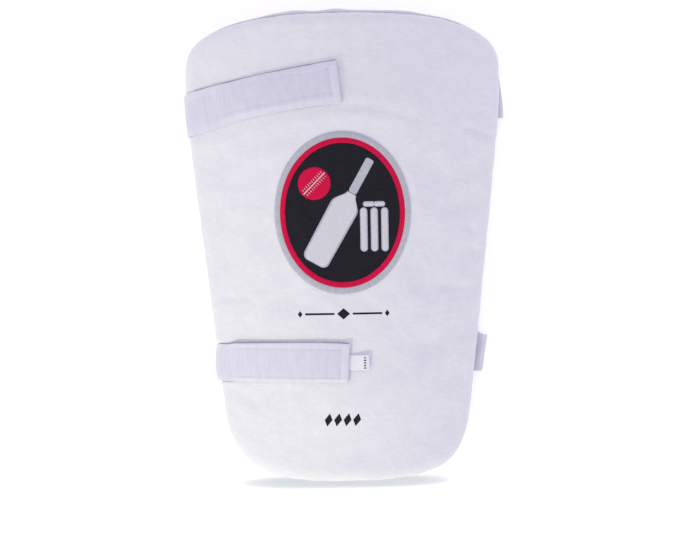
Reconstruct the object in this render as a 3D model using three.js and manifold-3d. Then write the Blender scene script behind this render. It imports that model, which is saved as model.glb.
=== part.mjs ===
// A cricket thigh guard, lying face up on the back runs of its two elastic straps.
// Millimetres. +X runs across the guard, +Y towards its waist end, +Z up out of its face.
// The origin is on the surface that the guard lies on, under the middle of its outline.

import * as THREE from "three";
import Module from "manifold-3d";

// Outline of the guard, seen from above
const WAIST_LENGTH = 182.7; // from the origin to the waist end
const KNEE_LENGTH = 187.1; // from the origin to the knee end
const WAIST_HALF = 122.4; // half the width above the hip line
const KNEE_HALF = 87.8; // half the width that the tapering sides reach at the knee end
const HIP_LINE = 111; // where the sides start to taper
const HIP_BLEND = 8; // how softly they start to
const WAIST_CORNER = 44.3; // length of the round corners at the waist end
const KNEE_CORNER = 68.8; // and at the knee end
const WAIST_SQUARENESS = 2.85; // power of the corners' curve, where 2 is an ellipse
const KNEE_SQUARENESS = 3.3;

// Arch over the thigh
const WAIST_RISE = 40; // how high the back of the guard arches at the waist end
const KNEE_RISE = 33; // and at the knee end
const LONG_BOW = 5; // how much more it rises half way along

// Thicknesses of the moulded pad and its lining
const CLEARANCE = 0.3; // between any two pieces that touch on the real guard
const LINING_THICKNESS = 3;
const LINING_TUCK = 1.2; // how far the lining stays inside the seam at the sides and knee end
const LINING_RIM = 3; // how far it shows past the seam at the waist end
const EDGE_FOAM = 9; // pad at its rolled edge
const CENTRE_FOAM = 18; // pad in its middle
const SWELL = 75; // distance over which the pad thickens from edge to middle
const ROLL_WIDTH = 11; // round upper edge of the pad
const SEAM_WIDTH = 3; // small round under it, down to the seam
const SEAM_HEIGHT = 2.5;

// Straps, fastening patches and tag
const UPPER_WIDTH = 34; // width of the upper strap
const UPPER_FROM_WAIST = 55.3; // from the waist end to the middle of its free end
const UPPER_END = -1.8; // its free end, past the middle of the face
const UPPER_STANDS_OUT = 7.3; // its turn at the seam, past the outline
const UPPER_PATCH_WIDTH = 20;
const LOWER_WIDTH = 29.5; // the same of the lower strap
const LOWER_FROM_KNEE = 94.5;
const LOWER_END = 2.4;
const LOWER_STANDS_OUT = 12;
const LOWER_PATCH_WIDTH = 22;
const STRAP_THICKNESS = 1.8;
const REST_GAP = 1.3; // between the lining's long edges and the straps that they lie on
const TURN_RADIUS = 0.9; // inside of the turn that each strap makes at the seam
const TUCK_RUN = 5; // how far in from the left edge a strap has come down flat
const POCKET_DEPTH = 15; // how far each strap end is sewn in under the pad's edge
const PATCH_THICKNESS = 1;
const PATCH_LENGTH = 90;
const PATCH_FROM_END = 7; // plain strap past the patch, at the free end
const PATCH_MARGIN = 1; // strap that still lies level past the patch, all round
const PATCH_RAMP = 10; // strap that slopes down to the pad behind the patch
const TAG_WIDTH = 12.3;
const TAG_SHOWN = 14.6;
const TAG_TUCK = 5; // stretch of the tag under the strap end
const TAG_THICKNESS = 0.8;

// Each strap runs from its free end on the face, round the left edge, flat under the guard and up
// into the seam on the right. Its free end lies at (endX, endY) on the face, frontAngle and
// backAngle are how steeply its runs rise to the right in degrees, turnReach is how far its turn
// at the seam stands out past the outline, and hugs says how much its fold on the left follows
// the taper of the side.
const STRAPS = [
  {
    name: "upper", endX: UPPER_END, endY: WAIST_LENGTH - UPPER_FROM_WAIST, width: UPPER_WIDTH,
    frontAngle: 8.6, backAngle: 2.5, turnReach: UPPER_STANDS_OUT, hugs: 1,
    patchWidth: UPPER_PATCH_WIDTH,
  },
  {
    name: "lower", endX: LOWER_END, endY: LOWER_FROM_KNEE - KNEE_LENGTH, width: LOWER_WIDTH,
    frontAngle: 0, backAngle: 1, turnReach: LOWER_STANDS_OUT, hugs: 0,
    patchWidth: LOWER_PATCH_WIDTH,
  },
];

// Badge on the face
const BADGE_HALF_WIDTH = 54.5;
const BADGE_HALF_HEIGHT = 63.5;
const BADGE_X = -1.7;
const BADGE_Y = 24.6;
const BADGE_THICKNESS = 1;

// Fineness of the meshes
const CORNER_STEPS = 12;
const SIDE_STEPS = 12;
const RING_SHARES = [0.17, 0.34, 0.5, 0.64, 0.77, 0.89, 1];
const ROLL_STEPS = 5;
const SEAM_STEPS = 3;
const NOSE_STEPS = 4;
const PATCH_STEPS = 20;
const SLOPE_STEPS = 6;
const TURN_STEPS = 6;
const BACK_STEPS = 10;
const POCKET_STEPS = 2;
const BADGE_SECTORS = 40;
const BADGE_SHARES = [0.2, 0.4, 0.6, 0.8, 1];

// Values that follow from the sizes above
const BACK = LINING_THICKNESS + CLEARANCE; // underside of the pad over the arch
const TAPER = (WAIST_HALF - KNEE_HALF) / (HIP_LINE + KNEE_LENGTH);
const WAIST = {
  sign: 1, length: WAIST_LENGTH, corner: WAIST_CORNER, squareness: WAIST_SQUARENESS,
};
const KNEE = {
  sign: -1, length: KNEE_LENGTH, corner: KNEE_CORNER, squareness: KNEE_SQUARENESS,
};

const { lerp, degToRad, smoothstep } = THREE.MathUtils;
const ease = (share) => smoothstep(share, 0, 1);
const steps = (count) => Array.from({ length: count + 1 }, (_, i) => i / count);

// Outline

/** Half the width between the straight sides at y. */
function sideAt(y) {
  const below = HIP_LINE - y;
  return WAIST_HALF - (TAPER * (below + Math.hypot(below, HIP_BLEND))) / 2;
}

/** Half the width of the outline at y, corners included. */
function halfWidthAt(y) {
  const end = y > 0 ? WAIST : KNEE;
  const t = Math.max(0, (Math.abs(y) - end.length + end.corner) / end.corner);
  return t >= 1 ? 0 : sideAt(y) * (1 - t ** end.squareness) ** (1 / end.squareness);
}

/** Point of a corner on the right: share 0 is where the side ends, 1 the middle of the end. */
function cornerPoint(end, share) {
  const angle = (share * Math.PI) / 2;
  const up = Math.sin(angle) ** (2 / end.squareness);
  const y = end.sign * (end.length - end.corner * (1 - up));
  return new THREE.Vector2(sideAt(y) * Math.cos(angle) ** (2 / end.squareness), y);
}

/** The whole outline, counter-clockwise from the middle of the knee end, with its normals. */
function makeOutline() {
  const low = KNEE_CORNER - KNEE_LENGTH;
  const high = WAIST_LENGTH - WAIST_CORNER;
  const right = [
    ...steps(CORNER_STEPS).map((t) => cornerPoint(KNEE, 1 - t)),
    ...steps(SIDE_STEPS).slice(1, -1).map((t) => {
      const y = lerp(low, high, t);
      return new THREE.Vector2(sideAt(y), y);
    }),
    ...steps(CORNER_STEPS).map((t) => cornerPoint(WAIST, t)),
  ];
  const left = right.slice(1, -1).reverse().map((p) => new THREE.Vector2(-p.x, p.y));
  const points = [...right, ...left];
  return points.map((point, i) => {
    const next = points[(i + 1) % points.length];
    const last = points[(i + points.length - 1) % points.length];
    const normal = new THREE.Vector2(next.y - last.y, last.x - next.x).normalize();
    return { point, normal };
  });
}

const OUTLINE = makeOutline();

/** The outline moved inwards. */
const insetRing = (inset) => OUTLINE.map(({ point, normal }) =>
  point.clone().addScaledVector(normal, -inset));

// Arch

/** Rise and radius of the arch at y. */
function archAt(y) {
  const along = (y + KNEE_LENGTH) / (WAIST_LENGTH + KNEE_LENGTH);
  const rise = lerp(KNEE_RISE, WAIST_RISE, along) + LONG_BOW * (1 - (2 * along - 1) ** 2);
  const half = sideAt(y);
  return { rise, radius: (half * half + rise * rise) / (2 * rise) };
}

/** Point of the plan (x, y) at a height over the back of the arch, before it is set down. */
function bend(x, y, height) {
  const { rise, radius } = archAt(y);
  const lean = x / radius;
  const upright = Math.sqrt(1 - lean * lean);
  return new THREE.Vector3(x + height * lean, y, rise - radius + (radius + height) * upright);
}

/** Rings of the lining's round edge, from its back to its front, as plan points and height. */
function liningEdge() {
  const radius = LINING_THICKNESS / 2;
  return steps(NOSE_STEPS).map((t) => {
    const angle = (t - 0.5) * Math.PI;
    const ring = insetRing(LINING_TUCK + radius * (1 - Math.cos(angle))).map((p) => {
      const nearWaist = ease((p.y - WAIST_LENGTH + WAIST_CORNER) / WAIST_CORNER);
      return new THREE.Vector2(p.x, p.y + (LINING_RIM + LINING_TUCK) * nearWaist);
    });
    return { ring, height: radius * (1 + Math.sin(angle)) };
  });
}

// The arch is set down so that the lining's long edges lie over the straps.
const LOWEST_EDGE = Math.min(
  ...liningEdge().flatMap(({ ring, height }) => ring.map((p) => bend(p.x, p.y, height).z)),
);
const FOOT = STRAP_THICKNESS + REST_GAP - LOWEST_EDGE;

/** Point of the plan (x, y) at a height over the back of the arch. */
function onArch(x, y, height) {
  const point = bend(x, y, height);
  point.z += FOOT;
  return point;
}

/** Height of the pad's face over the back of the arch. */
function faceAt(x, y) {
  const end = y > 0 ? WAIST : KNEE;
  const fromSide = halfWidthAt(y) - Math.abs(x) - ROLL_WIDTH;
  const fromEnd = end.length - Math.abs(y) - ROLL_WIDTH;
  const swell = ease(fromSide / SWELL) * ease(fromEnd / SWELL);
  return BACK + lerp(EDGE_FOAM, CENTRE_FOAM, swell);
}

/** Plan x of a place that lies a distance across the face from the guard's centre line. */
function planX(across, y) {
  const { radius } = archAt(y);
  return radius * Math.sin(across / (radius + BACK + CENTRE_FOAM));
}

/** The distance across the face of a plan x. */
function acrossAt(x, y) {
  const { radius } = archAt(y);
  return (radius + BACK + CENTRE_FOAM) * Math.asin(x / radius);
}

/** Point above the face, by its distance across the face and its y. */
function onFace(across, y, above) {
  const x = planX(across, y);
  return onArch(x, y, faceAt(x, y) + above);
}

// Closed solids

/** Triangles of a solid from its corner points and the corners of its faces. */
function makeSolid(points, faces) {
  const geometry = new THREE.BufferGeometry();
  geometry.setAttribute(
    "position",
    new THREE.Float32BufferAttribute(points.flatMap((p) => [p.x, p.y, p.z]), 3),
  );
  geometry.setIndex(faces.flat());
  geometry.computeVertexNormals();
  return geometry;
}

/** Two triangles of the quad a, b, c, d, parted along its shorter diagonal. */
function splitQuad(points, [a, b, c, d]) {
  const shortAC = points[a].distanceTo(points[c]) <= points[b].distanceTo(points[d]);
  return shortAC ? [[a, b, c], [a, c, d]] : [[a, b, d], [b, c, d]];
}

/** Solid through rings that run counter-clockwise, from a point below to a point above. */
function ringSolid(bottom, rings, top) {
  const count = rings[0].length;
  const points = [...rings.flat(), bottom, top];
  const faces = [];
  const last = rings.length * count;
  for (let i = 0; i < count; i += 1) {
    const j = (i + 1) % count;
    faces.push([last, j, i], [last + 1, last - count + i, last - count + j]);
    for (let k = 0; k < rings.length - 1; k += 1) {
      const [low, high] = [k * count, (k + 1) * count];
      faces.push(...splitQuad(points, [low + i, low + j, high + j, high + i]));
    }
  }
  return makeSolid(points, faces);
}

/** Flat strip along lines of { inner, outer } points, one line for each column across it. */
function stripSolid(lines) {
  const columns = lines.length;
  const stations = lines[0].length;
  const points = [];
  for (let k = 0; k < stations; k += 1) {
    for (const line of lines) points.push(line[k].inner);
    for (const line of [...lines].reverse()) points.push(line[k].outer);
  }
  const around = 2 * columns;
  const faces = [];
  for (let k = 0; k < stations - 1; k += 1) {
    for (let i = 0; i < around; i += 1) {
      const j = (i + 1) % around;
      const [a, b] = [k * around + i, k * around + j];
      faces.push([a, a + around, b + around], [a, b + around, b]);
    }
  }
  const end = (stations - 1) * around;
  for (let i = 0; i < columns - 1; i += 1) {
    const [a, b, c, d] = [i, i + 1, around - 2 - i, around - 1 - i];
    faces.push([a, b, c], [a, c, d], [end + a, end + c, end + b], [end + a, end + d, end + c]);
  }
  return makeSolid(points, faces);
}

// Pad and lining

/** Rings of the plan from near the middle out to where the pad's roll starts. */
const innerRings = RING_SHARES.map((share) =>
  insetRing(ROLL_WIDTH).map((p) => p.multiplyScalar(share)));

/** The same, and one ring more under the roll. */
const backRings = [...innerRings, insetRing((ROLL_WIDTH + SEAM_WIDTH) / 2)];

const raise = (ring, heightOf) => ring.map((p) => onArch(p.x, p.y, heightOf(p)));

function makeLining() {
  const rings = [
    ...backRings.map((ring) => raise(ring, () => 0)),
    ...liningEdge().map(({ ring, height }) => raise(ring, () => height)),
    ...[...backRings].reverse().map((ring) => raise(ring, () => LINING_THICKNESS)),
  ];
  return ringSolid(onArch(0, 0, 0), rings, onArch(0, 0, LINING_THICKNESS));
}

/** Half width and height of the pad's upper roll, let out by a distance, at an angle in radians. */
function rollPoint(angle, out) {
  return {
    inset: ROLL_WIDTH - (ROLL_WIDTH + out) * Math.cos(angle),
    height: BACK + SEAM_HEIGHT + (EDGE_FOAM - SEAM_HEIGHT + out) * Math.sin(angle),
  };
}

function makePad() {
  const seam = steps(SEAM_STEPS).slice(0, -1).map((t) => {
    const angle = (t * Math.PI) / 2;
    return {
      inset: SEAM_WIDTH * (1 - Math.sin(angle)),
      height: BACK + SEAM_HEIGHT * (1 - Math.cos(angle)),
    };
  });
  const roll = steps(ROLL_STEPS).slice(0, -1).map((t) => rollPoint((t * Math.PI) / 2, 0));
  const rings = [
    ...backRings.map((ring) => raise(ring, () => BACK)),
    ...[...seam, ...roll].map(({ inset, height }) => raise(insetRing(inset), () => height)),
    ...[...innerRings].reverse().map((ring) => raise(ring, (p) => faceAt(p.x, p.y))),
  ];
  return ringSolid(onArch(0, 0, BACK), rings, onArch(0, 0, faceAt(0, 0)));
}

// Straps

/** Place on the face at a distance back from a strap's free end and to one side of its middle. */
function runPoint(strap, back, aside) {
  const angle = degToRad(strap.frontAngle);
  return {
    across: strap.endX - back * Math.cos(angle) - aside * Math.sin(angle),
    y: strap.endY - back * Math.sin(angle) + aside * Math.cos(angle),
  };
}

/** How far back from its free end a strap's line crosses the inset of the left edge. */
function backToEdge(strap, aside, inset) {
  const angle = degToRad(strap.frontAngle);
  let back = strap.endX + WAIST_HALF;
  for (let pass = 0; pass < 4; pass += 1) {
    const { y } = runPoint(strap, back, aside);
    const edge = acrossAt(inset - halfWidthAt(y), y);
    back = (strap.endX - edge - aside * Math.sin(angle)) / Math.cos(angle);
  }
  return back;
}

/** How far back from the free end a strap lies level over its patch. */
const LEVEL_RUN = PATCH_FROM_END + PATCH_LENGTH + PATCH_MARGIN;

/** How far a strap's line is held off the face by the patch under it. */
function liftAt(back, share) {
  const past = back - LEVEL_RUN;
  const patch = Math.abs(share) < 1 ? PATCH_THICKNESS + CLEARANCE : 0;
  return CLEARANCE + patch * ease(1 - past / PATCH_RAMP);
}

/** Pair of points on both faces of a strap, at a place of its middle and its direction there. */
function facesAt(middle, direction, y) {
  const normal = new THREE.Vector2(-direction.y, direction.x);
  const at = (out) => {
    const p = middle.clone().addScaledVector(normal, out * (STRAP_THICKNESS / 2));
    return new THREE.Vector3(p.x, y, p.y);
  };
  return { inner: at(1), outer: at(-1) };
}

/** Smooth bend in the XZ plane between two places with their directions, and y sliding along. */
function bendBetween(from, to, count) {
  const reach = from.middle.distanceTo(to.middle) / 2;
  const curve = new THREE.CubicBezierCurve(
    from.middle,
    from.middle.clone().addScaledVector(from.direction, reach),
    to.middle.clone().addScaledVector(to.direction, -reach),
    to.middle,
  );
  return steps(count).slice(1).map((t) =>
    facesAt(curve.getPoint(t), curve.getTangent(t), lerp(from.y, to.y, t)));
}

/** Where one line of a strap meets the seam on the right, and the turn that leads there. */
function seamPlace(strap, foldY, aside) {
  const angle = degToRad(strap.backAngle);
  const rise = (2 * halfWidthAt(foldY) + strap.turnReach) * Math.tan(angle);
  const y = foldY + rise + aside / Math.cos(angle);
  const half = halfWidthAt(y);
  const turn = TURN_RADIUS + STRAP_THICKNESS / 2;
  return { y, half, turn, turnX: half + strap.turnReach - STRAP_THICKNESS / 2 - turn };
}

/** Place of a strap's middle, in the pocket under the pad's edge. */
function pocketPoint(seam, inset) {
  const height = BACK + STRAP_THICKNESS / 2;
  const place = onArch(seam.half - inset, seam.y, height);
  const lean = (seam.half - inset) / archAt(seam.y).radius;
  return {
    middle: new THREE.Vector2(place.x, place.z),
    direction: new THREE.Vector2(-Math.sqrt(1 - lean * lean), lean),
    y: seam.y,
  };
}

/** Where a strap's middle line turns over the left edge. */
const foldYOf = (strap) => runPoint(strap, backToEdge(strap, 0, 0), 0).y;

/** One line of a strap, from its free end round the guard to its sewn end. */
function strapLine(strap, share) {
  const aside = (share * strap.width) / 2;
  const toRoll = backToEdge(strap, aside, ROLL_WIDTH);
  const backs = [
    ...steps(PATCH_STEPS).map((t) => t * LEVEL_RUN),
    ...steps(SLOPE_STEPS).slice(1).map((t) => lerp(LEVEL_RUN, toRoll, t)),
  ];
  const front = backs.map((back) => {
    const { across, y } = runPoint(strap, back, aside);
    const lift = liftAt(back, share);
    return {
      inner: onFace(across, y, lift),
      outer: onFace(across, y, lift + STRAP_THICKNESS),
    };
  });

  const foldY = runPoint(strap, backToEdge(strap, aside, 0), aside).y;
  const topY = runPoint(strap, toRoll, (strap.width / 2)).y;
  const standOff = (1 - strap.hugs) * (halfWidthAt(topY) - halfWidthAt(foldY));
  const roll = steps(ROLL_STEPS).slice(1).map((t) => {
    const over = (out) => {
      const { inset, height } = rollPoint(((1 - t) * Math.PI) / 2, out);
      const y = runPoint(strap, backToEdge(strap, aside, inset), aside).y;
      const point = onArch(inset - halfWidthAt(y), y, height);
      point.x -= standOff * t;
      return point;
    };
    return { inner: over(CLEARANCE), outer: over(CLEARANCE + STRAP_THICKNESS) };
  });

  const { inner, outer } = roll.at(-1);
  const side = new THREE.Vector2(outer.x - inner.x, outer.z - inner.z).normalize();
  const leave = {
    middle: new THREE.Vector2((inner.x + outer.x) / 2, (inner.z + outer.z) / 2),
    direction: new THREE.Vector2(-side.y, side.x),
    y: inner.y,
  };
  const centreY = foldYOf(strap);
  const seam = seamPlace(strap, centreY, aside);
  const land = {
    middle: new THREE.Vector2(TUCK_RUN - halfWidthAt(foldY) - standOff, STRAP_THICKNESS / 2),
    direction: new THREE.Vector2(1, 0),
    y: centreY + aside / Math.cos(degToRad(strap.backAngle)),
  };
  const tuck = bendBetween(leave, land, TURN_STEPS);

  const level = new THREE.Vector2(1, 0);
  const under = steps(BACK_STEPS).slice(1).map((t) => facesAt(
    new THREE.Vector2(lerp(land.middle.x, seam.turnX, t), STRAP_THICKNESS / 2),
    level,
    lerp(land.y, seam.y, t),
  ));
  const turn = steps(TURN_STEPS).slice(1).map((t) => {
    const angle = (t - 0.5) * Math.PI;
    const out = new THREE.Vector2(Math.cos(angle), Math.sin(angle));
    const centre = new THREE.Vector2(seam.turnX, STRAP_THICKNESS / 2 + seam.turn);
    return facesAt(centre.addScaledVector(out, seam.turn), new THREE.Vector2(-out.y, out.x), seam.y);
  });
  const top = {
    middle: new THREE.Vector2(seam.turnX, STRAP_THICKNESS / 2 + 2 * seam.turn),
    direction: new THREE.Vector2(-1, 0),
    y: seam.y,
  };
  const mouth = bendBetween(top, pocketPoint(seam, 0), TURN_STEPS);
  const sewn = steps(POCKET_STEPS).slice(1).map((t) => {
    const { middle, direction, y } = pocketPoint(seam, t * (POCKET_DEPTH - CLEARANCE));
    return facesAt(middle, direction, y);
  });
  return [...front, ...roll, ...tuck, ...under, ...turn, ...mouth, ...sewn];
}

/** Shares of a strap's half width where its cross-section changes. */
function strapColumns(strap) {
  const level = (strap.patchWidth + 2 * PATCH_MARGIN) / strap.width;
  return [-1, -level, 0, level, 1];
}

const makeStrap = (strap) =>
  stripSolid(strapColumns(strap).map((share) => strapLine(strap, share)));

/** Hook tape under the free end of a strap. */
function makePatch(strap) {
  return stripSolid([-0.5, 0, 0.5].map((share) => steps(PATCH_STEPS).map((t) => {
    const back = PATCH_FROM_END + t * PATCH_LENGTH;
    const { across, y } = runPoint(strap, back, share * strap.patchWidth);
    return {
      inner: onFace(across, y, CLEARANCE),
      outer: onFace(across, y, CLEARANCE + PATCH_THICKNESS),
    };
  })));
}

/** Small woven tag that comes out from under a strap's free end. */
function makeTag(strap) {
  return stripSolid([-0.5, 0, 0.5].map((share) => steps(POCKET_STEPS).map((t) => {
    const { across, y } = runPoint(strap, lerp(-TAG_SHOWN, TAG_TUCK, t), share * TAG_WIDTH);
    return {
      inner: onFace(across, y, CLEARANCE),
      outer: onFace(across, y, CLEARANCE + TAG_THICKNESS),
    };
  })));
}

/** What is cut out of the pad's underside for the sewn end of a strap. */
function makePocket(strap) {
  const centreY = foldYOf(strap);
  const wider = 1 + (2 * CLEARANCE) / strap.width;
  return stripSolid([-wider, 0, wider].map((share) => {
    const seam = seamPlace(strap, centreY, (share * strap.width) / 2);
    return [-SEAM_WIDTH, 0, POCKET_DEPTH / 2, POCKET_DEPTH].map((inset) => ({
      inner: onArch(seam.half - inset, seam.y, LINING_THICKNESS - CLEARANCE),
      outer: onArch(seam.half - inset, seam.y, BACK + STRAP_THICKNESS + CLEARANCE),
    }));
  }));
}

// Badge

function makeBadge() {
  const ring = (share, above) => steps(BADGE_SECTORS).slice(1).map((t) => {
    const angle = 2 * Math.PI * t;
    return onFace(
      BADGE_X + share * BADGE_HALF_WIDTH * Math.cos(angle),
      BADGE_Y + share * BADGE_HALF_HEIGHT * Math.sin(angle),
      above,
    );
  });
  const high = CLEARANCE + BADGE_THICKNESS;
  return ringSolid(
    onFace(BADGE_X, BADGE_Y, CLEARANCE),
    [
      ...BADGE_SHARES.map((share) => ring(share, CLEARANCE)),
      ...[...BADGE_SHARES].reverse().map((share) => ring(share, high)),
    ],
    onFace(BADGE_X, BADGE_Y, high),
  );
}

// Cuts

const wasm = await Module();
wasm.setup();

function toManifold(geometry) {
  return new wasm.Manifold(new wasm.Mesh({
    numProp: 3,
    vertProperties: new Float32Array(geometry.attributes.position.array),
    triVerts: new Uint32Array(geometry.index.array),
  }));
}

/** A solid with others cut out of it. */
function cut(geometry, cutters) {
  const left = cutters.reduce(
    (solid, cutter) => solid.subtract(toManifold(cutter)),
    toManifold(geometry),
  );
  const { vertProperties, triVerts } = left.getMesh();
  const result = new THREE.BufferGeometry();
  result.setAttribute("position", new THREE.BufferAttribute(vertProperties, 3));
  result.setIndex(new THREE.BufferAttribute(triVerts, 1));
  result.computeVertexNormals();
  return result;
}

// The guard

const cloth = (color, roughness) =>
  new THREE.MeshStandardMaterial({ color, roughness, metalness: 0 });

const guard = new THREE.Group();

function addPiece(name, geometry, material) {
  const mesh = new THREE.Mesh(geometry, material);
  mesh.name = name;
  guard.add(mesh);
}

addPiece("front_pad", cut(makePad(), STRAPS.map(makePocket)), cloth(0xe9e8ee, 0.75));
addPiece("back_lining", makeLining(), cloth(0xf1f0f4, 0.85));
for (const strap of STRAPS) {
  addPiece(`${strap.name}_strap`, makeStrap(strap), cloth(0xe4e1ed, 0.6));
  addPiece(`${strap.name}_hook_patch`, makePatch(strap), cloth(0xdedce6, 0.9));
}
addPiece("size_tag", makeTag(STRAPS.find(({ name }) => name === "lower")), cloth(0xf6f6f8, 0.5));
addPiece("badge", makeBadge(), cloth(0x1c1b1f, 0.7));

export default guard;
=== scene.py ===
"""A cricket thigh guard on a pale floor, seen from straight above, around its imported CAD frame.

Metres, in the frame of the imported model: +X across the guard, +Y to its waist end, +Z up.
"""

import math

import bpy
import numpy as np
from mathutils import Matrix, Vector, noise
from mathutils.bvhtree import BVHTree
from mathutils.interpolate import poly_3d_calc


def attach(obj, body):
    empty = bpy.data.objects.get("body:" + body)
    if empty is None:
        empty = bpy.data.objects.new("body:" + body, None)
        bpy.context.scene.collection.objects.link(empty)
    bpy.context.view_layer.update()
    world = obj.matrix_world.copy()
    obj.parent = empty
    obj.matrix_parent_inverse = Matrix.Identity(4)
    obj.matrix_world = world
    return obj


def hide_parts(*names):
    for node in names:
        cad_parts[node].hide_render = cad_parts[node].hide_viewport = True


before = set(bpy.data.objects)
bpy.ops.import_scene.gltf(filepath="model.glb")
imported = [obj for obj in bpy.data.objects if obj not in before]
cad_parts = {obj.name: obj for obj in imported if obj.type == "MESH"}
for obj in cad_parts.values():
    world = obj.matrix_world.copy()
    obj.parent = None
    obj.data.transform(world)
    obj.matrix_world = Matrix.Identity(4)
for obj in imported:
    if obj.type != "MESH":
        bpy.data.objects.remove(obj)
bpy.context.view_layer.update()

# Outline and arch of the guard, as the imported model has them
WAIST_LENGTH = 0.1827
KNEE_LENGTH = 0.1871
WAIST_HALF = 0.1224
KNEE_HALF = 0.0878
HIP_LINE = 0.111
HIP_BLEND = 0.008
WAIST_CORNER = 0.0443
KNEE_CORNER = 0.0688
WAIST_SQUARENESS = 2.85
KNEE_SQUARENESS = 3.3
WAIST_RISE = 0.040
KNEE_RISE = 0.033
LONG_BOW = 0.005

# Its thicknesses
CLEARANCE = 0.0003
LINING_THICKNESS = 0.003
LINING_TUCK = 0.0012
LINING_RIM = 0.003
EDGE_FOAM = 0.009
CENTRE_FOAM = 0.018
SWELL = 0.075
ROLL_WIDTH = 0.011
SEAM_WIDTH = 0.003
SEAM_HEIGHT = 0.0025
BACK = LINING_THICKNESS + CLEARANCE

# Its straps, patches and tag
STRAP_THICKNESS = 0.0018
REST_GAP = 0.0013
TURN_RADIUS = 0.0009
TUCK_RUN = 0.005
POCKET_DEPTH = 0.015
PATCH_THICKNESS = 0.001
PATCH_MARGIN = 0.001
PATCH_RAMP = 0.010
LEVEL_RUN = 0.098
TAG_WIDTH = 0.0123
TAG_SHOWN = 0.0146
TAG_TUCK = 0.005
TAG_THICKNESS = 0.0008
STRAPS = {
    "upper": dict(
        end_x=-0.0018, end_y=0.1274, width=0.034, front_angle=8.6, back_angle=2.8,
        turn_reach=0.0073, hugs=1, patch_width=0.020, turn_stray=(0.0018, -0.0026), turn_drop=0.0,
        slant=0.0014, edge_stands=0.05, tunnel=0.0,
    ),
    "lower": dict(
        end_x=0.0024, end_y=-0.0926, width=0.0295, front_angle=0, back_angle=1,
        turn_reach=0.012, hugs=0, patch_width=0.022, turn_stray=(0.0, 0.0009), turn_drop=0.0040,
        slant=0.0019, edge_stands=0.35, tunnel=0.0009,
    ),
}

# Its badge
BADGE_X = -0.0017
BADGE_Y = 0.0246
BADGE_HALF_WIDTH = 0.0545
BADGE_HALF_HEIGHT = 0.0635

TAPER = (WAIST_HALF - KNEE_HALF) / (HIP_LINE + KNEE_LENGTH)


# Outline and arch

def ease(t):
    """Smooth step from 0 at 0 to 1 at 1."""
    t = np.clip(t, 0, 1)
    return t * t * (3 - 2 * t)


def as_points(*parts):
    """Coordinates, spread to one shape, as an array of points."""
    return np.stack(np.broadcast_arrays(*parts), -1)


def full_turn(count):
    """Angles evenly round a circle."""
    return np.linspace(0, 2 * math.pi, count, endpoint=False)


def unit(vector):
    """A vector's direction, one metre long."""
    return vector / np.linalg.norm(vector)


def run_along(path):
    """Distance of each point of a path from its start."""
    return np.concatenate([[0], np.cumsum(np.linalg.norm(np.diff(path, axis=0), axis=1))])


def side_at(y):
    """Half the width between the straight sides at y."""
    below = HIP_LINE - y
    return WAIST_HALF - TAPER * (below + np.hypot(below, HIP_BLEND)) / 2


def end_sizes(y):
    """Length, corner length and squareness of the end on whose side y is."""
    waist = np.asarray(y) > 0
    return (
        np.where(waist, WAIST_LENGTH, KNEE_LENGTH),
        np.where(waist, WAIST_CORNER, KNEE_CORNER),
        np.where(waist, WAIST_SQUARENESS, KNEE_SQUARENESS),
    )


def half_width_at(y):
    """Half the width of the outline at y, corners included."""
    length, corner, power = end_sizes(y)
    t = np.clip((np.abs(y) - length + corner) / corner, 0, 1)
    return side_at(y) * (1 - t**power) ** (1 / power)


def arch_at(y):
    """Rise and radius of the arch at y."""
    along = (y + KNEE_LENGTH) / (WAIST_LENGTH + KNEE_LENGTH)
    rise = KNEE_RISE + (WAIST_RISE - KNEE_RISE) * along
    rise = rise + LONG_BOW * (1 - (2 * along - 1) ** 2)
    return rise, (side_at(y) ** 2 + rise**2) / (2 * rise)


def bend(x, y, height):
    """Points of the plan at a height over the back of the arch, before it is set down."""
    rise, radius = arch_at(y)
    lean = x / radius
    upright = np.sqrt(1 - lean**2)
    z = rise - radius + (radius + height) * upright
    return as_points(x + height * lean, y, z)


# Where on the left edge the outline's points stand closer together, for the lower strap's edges
NOTCHES = (-0.0779, -0.1074)
NOTCH_CROWD = 2.5
NOTCH_REACH = 0.005


def make_outline(count):
    """Outline points, counter-clockwise from the knee end, their normals and the run to each."""

    def corner(end, share):
        length, reach, power = (float(size) for size in end_sizes(end))
        up = np.sin(share * math.pi / 2) ** (2 / power)
        y = end * (length - reach * (1 - up))
        return as_points(side_at(y) * np.cos(share * math.pi / 2) ** (2 / power), y)

    share = np.linspace(0, 1, 600)
    y = np.linspace(KNEE_CORNER - KNEE_LENGTH, WAIST_LENGTH - WAIST_CORNER, 300)[1:-1]
    right = np.concatenate([corner(-1, share[::-1]), as_points(side_at(y), y), corner(1, share)])
    dense = np.concatenate([right, right[-2::-1] * (-1, 1)])
    run = run_along(dense)
    crowd = np.ones(len(dense))
    for y in NOTCHES:
        crowd += (dense[:, 0] < 0) * NOTCH_CROWD * np.exp(-((dense[:, 1] - y) / NOTCH_REACH) ** 2)
    crowd = np.concatenate([[0], np.cumsum((crowd[1:] + crowd[:-1]) / 2 * np.diff(run))])
    at = np.interp(np.arange(count) / count * crowd[-1], crowd, run)
    points = as_points(*(np.interp(at, run, column) for column in dense.T))
    along = np.roll(points, -1, 0) - np.roll(points, 1, 0)
    normals = as_points(along[:, 1], -along[:, 0])
    return points, normals / np.linalg.norm(normals, axis=1, keepdims=True), at


SECTORS = 432
OUTLINE, OUTWARD, OUTLINE_RUN = make_outline(SECTORS)


def inset_ring(inset):
    """The outline moved inwards."""
    return OUTLINE - OUTWARD * inset


def near_waist(y):
    """0 where the corners of the waist end start, 1 at its far edge."""
    return ease((y - WAIST_LENGTH + WAIST_CORNER) / WAIST_CORNER)


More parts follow.
